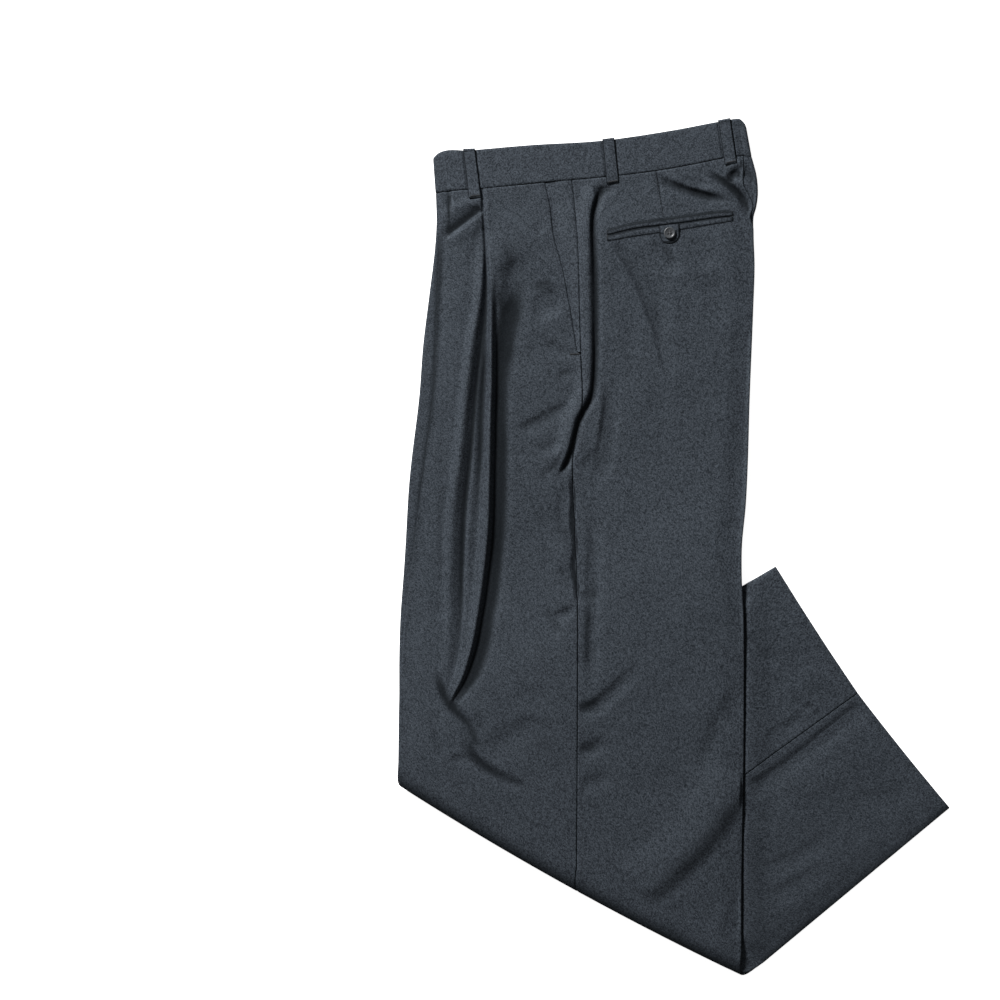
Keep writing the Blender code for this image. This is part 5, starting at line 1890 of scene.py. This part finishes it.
@dataclass(frozen=True)
class BackButton:
    """The back pocket's button: a dished disc with a rolled rim, four holes and its thread."""

    lay: Lay
    x: float = -6.2
    y: float = 324.2
    radius: float = 6.0
    height: float = 1.7
    dish: float = 0.6
    hole: float = 0.75
    spread: float = 1.5
    sides: int = 64
    hole_sides: int = 20
    weld: float = 1.0e-3
    thread: float = 0.22
    thread_steps: tuple[float, ...] = (-0.32, 0.0, 0.32)
    thread_foot: float = 0.3
    thread_slack: float = 0.05
    thread_arch: float = 0.42
    seat: float = 0.7

    def profile(self) -> list[tuple[float, float]]:
        """Half section of the button.

        Returns:
            Rows (radius, height), from the middle of its underside to the middle of its dish.
        """
        r, top = self.radius, self.height
        floor = top - self.dish
        return [(0.0, 0.0), (0.7 * r, 0.0), (0.88 * r, 0.10 * top), (0.97 * r, 0.32 * top),
                (r, 0.55 * top), (0.98 * r, 0.78 * top), (0.93 * r, 0.93 * top),
                (0.86 * r, top), (0.78 * r, 0.98 * top), (0.70 * r, top - 0.45 * self.dish),
                (0.63 * r, floor + 0.10 * self.dish), (0.52 * r, floor), (0.0, floor)]

    def build(self, tab: np.ndarray, horn: bpy.types.Material,
              thread: bpy.types.Material) -> None:
        """Make the button and its thread.

        Args:
            tab: the tab's face.
            horn: the button's material.
            thread: the thread's material.
        """
        surface = surface_of(tab)
        base = highest(surface, self.x, self.y, self.seat * self.radius) + self.lay.gap
        shape = bmesh.new()
        points = [shape.verts.new((self.x + r, self.y, base + z)) for r, z in self.profile()]
        edges = [shape.edges.new(pair) for pair in zip(points, points[1:])]
        bmesh.ops.spin(shape, geom=points + edges, cent=(self.x, self.y, 0.0),
                       axis=(0.0, 0.0, 1.0), angle=math.tau, steps=self.sides, use_merge=True)
        bmesh.ops.remove_doubles(shape, verts=shape.verts, dist=self.weld)
        disc = bmesh_object("button_disc", shape)
        drills = bmesh.new()
        places = [(self.x + sx * self.spread, self.y + sy * self.spread)
                  for sx in (-1, 1) for sy in (-1, 1)]
        for x, y in places:
            bmesh.ops.create_cone(drills, cap_ends=True, segments=self.hole_sides, radius1=self.hole,
                                  radius2=self.hole, depth=4.0 * self.height,
                                  matrix=Matrix.Translation((x, y, base)))
        cutter = bmesh_object("button_drills", drills)
        holes = disc.modifiers.new("holes", "BOOLEAN")
        holes.operation = "DIFFERENCE"
        holes.object = cutter
        graph = bpy.context.evaluated_depsgraph_get()
        bored = bpy.data.meshes.new_from_object(disc.evaluated_get(graph))
        disc.modifiers.clear()
        disc.data = bored
        bpy.data.objects.remove(cutter)
        dress(disc, horn, "horn", "pocket_button")
        self.stitch(places, base, thread)

    def stitch(self, places: list[tuple[float, float]], base: float,
               thread: bpy.types.Material) -> None:
        """Make the thread that holds the button, in two bars.

        Args:
            places: the four holes.
            base: height of the button's underside.
            thread: the thread's material.
        """
        floor = base + self.height - self.dish
        slack = self.thread_slack
        shape = bmesh.new()
        for side in (0, 2):
            (x, low_y), (_, high_y) = places[side], places[side + 1]
            for shift in self.thread_steps:
                add_thread(shape, [
                    Vector((x + shift, low_y, base + self.thread_foot)),
                    Vector((x + shift, low_y + slack, floor + slack)),
                    Vector((x + shift, 0.5 * (low_y + high_y), floor + self.thread_arch)),
                    Vector((x + shift, high_y - slack, floor + slack)),
                    Vector((x + shift, high_y, base + self.thread_foot))], self.thread)
        dress(bmesh_object("button_thread", shape), thread, "wool")


def add_thread(shape: bmesh.types.BMesh, route: list[Vector], radius: float,
               sides: int = 6) -> None:
    """Add one closed thread along a short route.

    Args:
        shape: the bmesh that takes it.
        route: the points that the thread follows.
        radius: the thread's radius.
        sides: how many sides its section has.
    """
    rings = []
    for i, point in enumerate(route):
        ahead = route[min(i + 1, len(route) - 1)] - route[max(i - 1, 0)]
        turn = ahead.to_track_quat("Z", "Y").to_matrix().to_4x4()
        place = Matrix.Translation(point) @ turn
        ring = bmesh.ops.create_circle(shape, cap_ends=False, radius=radius, segments=sides,
                                       matrix=place)["verts"]
        rings.append(ring)
    for low, high in zip(rings, rings[1:]):
        for i in range(sides):
            j = (i + 1) % sides
            shape.faces.new((low[i], low[j], high[j], high[i]))
    shape.faces.new(rings[0])
    shape.faces.new(rings[-1])


# ---------------------------------------------------------------- belt loops and tacks


@dataclass(frozen=True)
class BeltLoop:
    """One belt loop, hooked over the band's top and tacked below the waist seam."""

    lay: Lay
    name: str
    top_left_x: float
    top_right_x: float
    foot_left: tuple[float, float]
    foot_right: tuple[float, float]
    band: Waistband
    wall: float = 1.0
    over: float = 1.7
    rows: int = 34
    first: float = 1.0
    hook_drop: float = 1.3
    hook_more: float = 0.1
    feel: float = 1.2
    end_roll: Rows = ((0.0, 0.6), (0.4, 0.15), (1.2, 0.0))
    fold_depth: float = 0.35
    fold_place: float = 3.2
    fold_width: float = 0.7
    ease: float = 2.0
    # painted shade at the loop's foot, over this length
    end_shade: float = 1.5
    across: Rows = ((0.0, 0.95), (0.018, 0.5), (0.05, 0.16), (0.10, 0.0), (0.17, 0.14),
                    (0.24, 0.0), (0.5, 0.0), (0.76, 0.0), (0.83, 0.14), (0.90, 0.0),
                    (0.95, 0.16), (0.982, 0.5), (1.0, 0.95))
    # painted shade across the loop: dark along both its sides
    line: Rows = ((0.0, 1.0), (0.055, 1.0), (0.09, 0.0), (0.91, 0.0), (0.945, 1.0), (1.0, 1.0))

    def build(self, surface: BVHTree, finish: bpy.types.Material) -> np.ndarray:
        """Make the loop.

        Args:
            surface: what it lies on.
            finish: its material.

        Returns:
            Points of its outer face.
        """
        left = np.array((self.top_left_x, float(through(self.band.top_edge, self.top_left_x))))
        right = np.array((self.top_right_x,
                          float(through(self.band.top_edge, self.top_right_x))))
        foot_left, foot_right = np.array(self.foot_left), np.array(self.foot_right)
        length = float(np.linalg.norm(0.5 * (foot_left + foot_right - left - right)))
        along = np.linspace(self.first, length, self.rows)
        height = self.band.height
        angles = np.radians(np.linspace(180.0, 95.0, 6))
        radius = self.over + self.first
        hook_v = self.first + radius * np.cos(angles)
        hook_h = height - self.hook_drop + (radius + self.hook_more) * np.sin(angles)
        low = []
        for v in along:
            places = [a + (b - a) * v / length
                      for a, b in ((left, foot_left), (right, foot_right))]
            places.append(0.5 * (places[0] + places[1]))
            low.append(max(highest(surface, float(p[0]), float(p[1]), self.feel) for p in places))
        low = np.array(low)
        low = np.maximum(low, np.convolve(np.pad(low, 2, "edge"), np.full(5, 0.2), "valid"))
        lift = self.lay.gap + self.wall
        h = np.concatenate((hook_h, low + lift))
        v = np.concatenate((hook_v, along))
        end_drop = np.interp(length - v, *zip(*self.end_roll))
        fold = self.fold_depth * np.exp(-((length - v - self.fold_place) / self.fold_width) ** 2)
        points = []
        for u, drop in self.across:
            top = left + (right - left) * u
            foot = foot_left + (foot_right - foot_left) * u
            down = (foot - top) / np.linalg.norm(foot - top)
            flat = top + v[:, None] * down
            fade = np.clip((v - self.first) / self.ease, 0.0, 1.0)
            z = h - (drop + end_drop + fold) * fade
            points.append(np.concatenate((flat, z[:, None]), axis=-1))
        points = np.array(points)
        weave = np.stack((points[..., 0], points[..., 1]), axis=-1)
        # painted shade down both sides of the loop and at its foot
        sides = np.interp([u for u, _ in self.across], *zip(*self.line))
        end = np.clip(self.end_shade - (length - v), 0.0, 1.0)
        shown = np.clip((v + self.ease) / self.ease, 0.0, 1.0)
        painted_shade = np.maximum(sides[:, None] * shown, end)
        piece = sheet_object(f"belt_loop_{self.name}_cloth", points, weave, True, self.wall,
                             painted_shade)
        dress(piece, finish, "wool", f"belt_loop_{self.name}")
        return points


@dataclass(frozen=True)
class Tack:
    """A bar of close stitches from one point to another."""

    start: tuple[float, float]
    end: tuple[float, float]
    width: float
    pitch: float = 0.42


@dataclass(frozen=True)
class Tacks:
    """The bartacks and end stitches, laid on the cloth."""

    lay: Lay
    thread: float = 0.2
    feel: float = 0.5
    lift: float = 0.1
    zigzag: float = 0.12
    arch: Rows = ((1.0, -0.25), (0.6, 0.12), (0.0, 0.22), (-0.6, 0.12), (-1.0, -0.25))
    bars: tuple[Tack, ...] = (
        Tack((-109.4, 198.3), (-99.9, 198.6), 1.6),
        Tack((-213.0, 362.5), (-203.4, 363.3), 1.5),
        Tack((-69.7, 377.3), (-60.0, 378.8), 1.5),
        Tack((53.0, 397.2), (62.6, 399.3), 1.5),
        Tack((-70.4, 317.5), (-70.4, 327.6), 1.3),
        Tack((59.3, 337.6), (59.3, 347.2), 1.3),
        Tack((-20.3, 387.0), (-12.7, 342.2), 0.6, 1.5),
    )

    def build(self, surface: BVHTree, finish: bpy.types.Material) -> None:
        """Make every bar as one mesh of short threads.

        Args:
            surface: what they lie on.
            finish: the thread's material.
        """
        shape = bmesh.new()
        for bar in self.bars:
            start, end = Vector(bar.start), Vector(bar.end)
            along = end - start
            side = Vector((-along.y, along.x)).normalized() * 0.5 * bar.width
            count = int(along.length / bar.pitch)
            for i in range(count + 1):
                centre = start + along * (i / count)
                lean = side * (1.0 + self.zigzag * (i % 2))
                base = highest(surface, centre.x, centre.y, self.feel) + self.lift
                ends = [(centre + lean * share, rise) for share, rise in self.arch]
                add_thread(shape, [Vector((p.x, p.y, base + z)) for p, z in ends],
                           self.thread, 5)
        dress(bmesh_object("bartacks", shape), finish, "wool")


# ---------------------------------------------------------------- finishes


class Sock:
    """A shader socket that takes part in Python expressions."""

    def __init__(self, graph: "Graph", link: bpy.types.NodeSocket) -> None:
        """Wrap a socket of a graph."""
        self.graph = graph
        self.link = link

    def _maths(self, operation: str, one: "Sock | float", two: "Sock | float") -> "Sock":
        """Add a Math node."""
        return self.graph.node("ShaderNodeMath", {"operation": operation}, {0: one, 1: two})

    def __add__(self, other: "Sock | float") -> "Sock":
        """Sum."""
        return self._maths("ADD", self, other)

    def __radd__(self, other: float) -> "Sock":
        """Sum, the other way round."""
        return self._maths("ADD", other, self)

    def __sub__(self, other: "Sock | float") -> "Sock":
        """Difference."""
        return self._maths("SUBTRACT", self, other)

    def __mul__(self, other: "Sock | float") -> "Sock":
        """Product."""
        return self._maths("MULTIPLY", self, other)

    def floored(self) -> "Sock":
        """The value rounded down."""
        return self.graph.node("ShaderNodeMath", {"operation": "FLOOR"}, {0: self})

    def clamped(self) -> "Sock":
        """The value held between 0 and 1."""
        return self.graph.node("ShaderNodeMath", {"operation": "ADD", "use_clamp": True},
                               {0: self, 1: 0.0})


class Graph:
    """The nodes of one material."""

    def __init__(self, name: str) -> None:
        """Start a material with only its Principled shader and its output."""
        self.material = bpy.data.materials.new(name)
        self.material.use_nodes = True
        self.tree = self.material.node_tree
        self.shader = self.tree.nodes["Principled BSDF"]

    def node(self, kind: str, settings: dict[str, object] | None = None,
             sockets: dict[str | int, object] | None = None, out: str | int = 0) -> Sock:
        """Add a node.

        Args:
            kind: the node's type.
            settings: its own settings, which are set first.
            sockets: values or links of its input sockets.
            out: the output to give back.

        Returns:
            That output.
        """
        made = self.tree.nodes.new(kind)
        for key, value in (settings or {}).items():
            setattr(made, key, value)
        for key, value in (sockets or {}).items():
            if isinstance(value, Sock):
                self.tree.links.new(value.link, made.inputs[key])
            else:
                made.inputs[key].default_value = value
        return Sock(self, made.outputs[out])

    def mix(self, share: Sock | float, one: Sock | Colour, two: Sock | Colour) -> Sock:
        """Blend two colours by a share of the second."""
        return self.node("ShaderNodeMix", {"data_type": "RGBA"}, {0: share, 6: one, 7: two}, 2)

    def noise(self, place: Sock, stretch: tuple[float, float, float], detail: float) -> Sock:
        """Noise over places that are first stretched.

        Args:
            place: the places.
            stretch: how many cells of noise there are to a metre, along x, y and z.
            detail: how much finer noise is added.

        Returns:
            Values from 0 to 1.
        """
        laid = self.node("ShaderNodeMapping", None, {"Vector": place, "Scale": stretch})
        return self.node("ShaderNodeTexNoise", None,
                         {"Vector": laid, "Scale": 1.0, "Detail": detail})

    def yarns(self, across: Sock, along: Sock, thick: float, slub: float) -> Sock:
        """A random shade for each stretch of each yarn.

        Args:
            across: place across the yarns.
            along: place along them.
            thick: width of a yarn.
            slub: length of a stretch of one shade.

        Returns:
            Shades from 0 to 1.
        """
        line = (across * (1.0 / thick)).floored()
        shift = self.node("ShaderNodeTexWhiteNoise", {"noise_dimensions": "1D"}, {"W": line})
        stretch = (along * (1.0 / slub) + shift * 9.0).floored()
        cell = self.node("ShaderNodeCombineXYZ", None, {"X": line, "Y": stretch})
        return self.node("ShaderNodeTexWhiteNoise", {"noise_dimensions": "2D"}, {"Vector": cell})

    def dress(self, **sockets: object) -> bpy.types.Material:
        """Set or link the shader's sockets.

        Args:
            sockets: names of the shader's inputs, with _ for a space, and their values.

        Returns:
            The finished material.
        """
        for key, value in sockets.items():
            socket = self.shader.inputs[key.replace("_", " ")]
            if isinstance(value, Sock):
                self.tree.links.new(value.link, socket)
            else:
                socket.default_value = value
        return self.material


@dataclass(frozen=True)
class Wool:
    """Fine melange worsted: light and dark yarns both ways, with painted shade in its folds and
    edges.
    """

    name: str = "melange_wool"
    dark: Colour = (0.0108, 0.0130, 0.0165, 1.0)
    light: Colour = (0.0600, 0.0706, 0.0852, 1.0)
    # colour of the painted shade in the folds and along the edges
    deep: Colour = (0.0012, 0.0016, 0.0022, 1.0)
    yarn: float = 0.00095
    slub: float = 0.0012
    fleck: float = 0.0007
    contrast: float = 1.1
    middle: float = 0.48
    yarn_share: float = 0.6
    grain_share: float = 0.5
    cloud: tuple[float, float, float] = (22.0, 18.0, 1.0)
    cloud_share: float = 0.14
    painted_shade_share: float = 0.9
    bump: float = 0.5
    bump_depth: float = 0.0003
    roughness: float = 0.62
    roughness_share: float = 0.12
    sheen: float = 0.2
    tint: Colour = (0.75, 0.88, 1.0, 1.0)

    def make(self) -> bpy.types.Material:
        """Make the material.

        Returns:
            The material.
        """
        graph = Graph(self.name)
        place = graph.node("ShaderNodeUVMap", {"uv_map": UV_NAME})
        across = graph.node("ShaderNodeSeparateXYZ", None, {0: place}, "X")
        along = graph.node("ShaderNodeSeparateXYZ", None, {0: place}, "Y")
        warp = graph.yarns(across, along, self.yarn, self.slub)
        weft = graph.yarns(along, across, self.yarn, self.slub)
        grain = graph.noise(place, (1.0 / self.fleck, 1.0 / self.fleck, 1.0), 2.0)
        cloud = graph.noise(place, self.cloud, 3.0)
        yarns = ((warp - 0.5) * self.yarn_share + (weft - 0.5) * self.yarn_share
                 + (grain - 0.5) * self.grain_share)
        shade = yarns * self.contrast + self.middle + (cloud - 0.5) * self.cloud_share
        shade = shade.clamped()
        # painted shade: the mesh attribute darkens the yarn colour towards the painted shade colour
        painted_shade = graph.node("ShaderNodeAttribute", {"attribute_name": PAINTED_SHADE}, None, "Fac")
        colour = graph.mix(painted_shade * self.painted_shade_share, graph.mix(shade, self.dark, self.light),
                           self.deep)
        bump = graph.node("ShaderNodeBump", None, {
            "Strength": self.bump, "Distance": self.bump_depth, "Height": yarns})
        rough = self.roughness + (grain - 0.5) * self.roughness_share
        return graph.dress(Base_Color=colour, Roughness=rough, Normal=bump,
                           Specular_IOR_Level=self.sheen, Specular_Tint=self.tint)


@dataclass(frozen=True)
class Horn:
    """Grey mottled horn, polished."""

    name: str = "dark_horn"
    dark: Colour = (0.028, 0.031, 0.035, 1.0)
    light: Colour = (0.078, 0.084, 0.091, 1.0)
    mottle: tuple[float, float, float] = (700.0, 260.0, 400.0)
    fine: tuple[float, float, float] = (2600.0, 2600.0, 2600.0)
    bump: float = 0.08
    bump_depth: float = 0.0001
    roughness: float = 0.32
    roughness_share: float = 0.16

    def make(self) -> bpy.types.Material:
        """Make the material.

        Returns:
            The material.
        """
        graph = Graph(self.name)
        place = graph.node("ShaderNodeTexCoord", None, None, "Object")
        mottle = graph.noise(place, self.mottle, 4.0)
        fine = graph.noise(place, self.fine, 2.0)
        colour = graph.mix(mottle.clamped(), self.dark, self.light)
        bump = graph.node("ShaderNodeBump", None, {
            "Strength": self.bump, "Distance": self.bump_depth, "Height": fine})
        rough = self.roughness + mottle * self.roughness_share
        return graph.dress(Base_Color=colour, Roughness=rough, Normal=bump)


@dataclass(frozen=True)
class Thread:
    """Twisted sewing thread in the cloth's colour."""

    name: str = "sewing_thread"
    dark: Colour = (0.006, 0.007, 0.009, 1.0)
    light: Colour = (0.026, 0.029, 0.034, 1.0)
    twist: tuple[float, float, float] = (3200.0, 3200.0, 3200.0)
    bump: float = 0.3
    bump_depth: float = 0.0001
    roughness: float = 0.6
    roughness_share: float = 0.1

    def make(self) -> bpy.types.Material:
        """Make the material.

        Returns:
            The material.
        """
        graph = Graph(self.name)
        place = graph.node("ShaderNodeTexCoord", None, None, "Object")
        strand = graph.noise(place, self.twist, 1.0)
        colour = graph.mix(strand.clamped(), self.dark, self.light)
        bump = graph.node("ShaderNodeBump", None, {
            "Strength": self.bump, "Distance": self.bump_depth, "Height": strand})
        rough = self.roughness + strand * self.roughness_share
        return graph.dress(Base_Color=colour, Roughness=rough, Normal=bump)


@dataclass(frozen=True)
class FloorPaper:
    """Near-white matt paper."""

    name: str = "white_paper"
    light: Colour = (0.93, 0.93, 0.93, 1.0)
    shade: Colour = (0.90, 0.90, 0.90, 1.0)
    glow: float = 0.92

    def make(self) -> bpy.types.Material:
        """Make the material.

        Returns:
            The material.
        """
        graph = Graph(self.name)
        place = graph.node("ShaderNodeTexCoord", None, None, "Object")
        tone = graph.noise(place, (3.0, 3.0, 3.0), 2.0)
        colour = graph.mix(tone, self.light, self.shade)
        return graph.dress(Base_Color=colour, Roughness=0.9, Specular_IOR_Level=0.1,
                           Emission_Color=(1.0, 1.0, 1.0, 1.0), Emission_Strength=self.glow)


# ---------------------------------------------------------------- studio


@dataclass(frozen=True)
class Lamp:
    """One soft light: where it stands, where it points, its size and power."""

    name: str
    place: tuple[float, float, float]
    size: float
    power: float
    colour: tuple[float, float, float] = (1.0, 1.0, 1.0)

    def build(self) -> None:
        """Make the light."""
        light = bpy.data.lights.new(self.name, "AREA")
        light.shape = "DISK"
        light.size = self.size
        light.energy = self.power
        light.color = self.colour
        made = bpy.data.objects.new(self.name, light)
        made.location = self.place
        aim = -Vector(self.place)
        made.rotation_euler = aim.to_track_quat("-Z", "Y").to_euler()
        bpy.context.scene.collection.objects.link(made)


@dataclass(frozen=True)
class Studio:
    """A pale floor, one soft light and a camera straight above."""

    view_width: float = 1.040
    view_centre: tuple[float, float] = (-182.3, 46.8)
    lens: float = 85.0
    sensor: float = 36.0
    floor_size: float = 14.0
    floor_drop: float = 0.0003
    focus_height: float = 0.006
    ambient: float = 0.12
    key: Lamp = Lamp("key", KEY_PLACE, 0.9, 420.0)

    def build(self) -> None:
        """Make the floor, the light and the camera."""
        shape = bmesh.new()
        bmesh.ops.create_grid(shape, x_segments=8, y_segments=8, size=0.5 * self.floor_size)
        bmesh.ops.translate(shape, verts=shape.verts, vec=(0.0, 0.0, -self.floor_drop))
        mesh = bpy.data.meshes.new("floor")
        shape.to_mesh(mesh)
        shape.free()
        floor = bpy.data.objects.new("floor", mesh)
        bpy.context.scene.collection.objects.link(floor)
        mesh.materials.append(FloorPaper().make())
        floor.visible_diffuse = False
        floor.visible_glossy = False
        self.key.build()
        world = bpy.data.worlds.new("studio")
        world.use_nodes = True
        sky = world.node_tree.nodes["Background"]
        sky.inputs["Color"].default_value = (1.0, 1.0, 1.0, 1.0)
        sky.inputs["Strength"].default_value = self.ambient
        bpy.context.scene.world = world
        bpy.context.scene.view_settings.view_transform = "Standard"
        camera = bpy.data.cameras.new("camera")
        camera.lens = self.lens
        camera.sensor_width = self.sensor
        made = bpy.data.objects.new("camera", camera)
        away = self.view_width * self.lens / self.sensor
        x, y = (np.array(self.view_centre) - CENTRE[:2]) * MM
        made.location = (x, y, away + self.focus_height)
        bpy.context.scene.collection.objects.link(made)
        bpy.context.scene.camera = made


# ---------------------------------------------------------------- the trousers


def main() -> None:
    """Build every piece, the floor, the light and the camera."""
    logging.basicConfig(level=logging.INFO, format="%(message)s")
    wool = Wool().make()
    thread = Thread().make()
    horn = Horn().make()
    lay = Lay()
    relief = Relief()
    front_cut, front_area = (0.240, 1.180), 0.215
    back_cut, back_area = (0.235, 1.190), 0.225
    inside_cut, inside_area = (0.340, 1.190), 0.36
    right_arm = 13.5
    left_front = LegPanel(lay, relief, Leg.LEFT, Panel.FRONT, 400, 14, 20,
                          front_cut, front_area)
    left_back = LegPanel(lay, relief, Leg.LEFT, Panel.BACK, 362, 14, 40,
                         back_cut, back_area)
    right_front = LegPanel(lay, relief, Leg.RIGHT, Panel.FRONT, 110, 14, 120,
                           front_cut, front_area, right_arm)
    right_back = LegPanel(lay, relief, Leg.RIGHT, Panel.BACK, 150, 14, 120,
                          back_cut, back_area, right_arm)
    faces = {}
    for panel in (left_front, left_back, right_front, right_back):
        faces[panel.name] = panel.build(wool)
    InnerLeg(lay, Leg.LEFT, left_front, left_back, inside_cut, inside_area).build(wool)
    InnerLeg(lay, Leg.RIGHT, right_front, right_back, inside_cut, inside_area).build(wool)
    faces["facing"] = SlantPocket(lay, relief, left_front).build(wool)
    band = Waistband(lay, Leg.LEFT, (0.345, 0.038))
    faces["band"] = band.build(wool)
    faces["under_band"] = Waistband(lay, Leg.RIGHT, (0.365, 0.038), seam_gap=0.15).build(wool)
    tab = WeltPocket(lay).build(faces["left_back"], wool)
    BackButton(lay).build(tab, horn, thread)
    waist = surface_of(*faces.values())
    loops = [
        BeltLoop(lay, "front", -220.6, -208.2, (-214.8, 360.4), (-201.8, 361.4), band),
        BeltLoop(lay, "side", -75.8, -63.4, (-71.4, 375.2), (-58.5, 377.2), band),
        BeltLoop(lay, "back", 44.5, 57.2, (51.3, 395.0), (64.1, 397.6), band),
    ]
    laid = [loop.build(waist, wool) for loop in loops]
    Tacks(lay).build(surface_of(*faces.values(), *laid), thread)
    Studio().build()


if __name__ == "__main__":
    main()
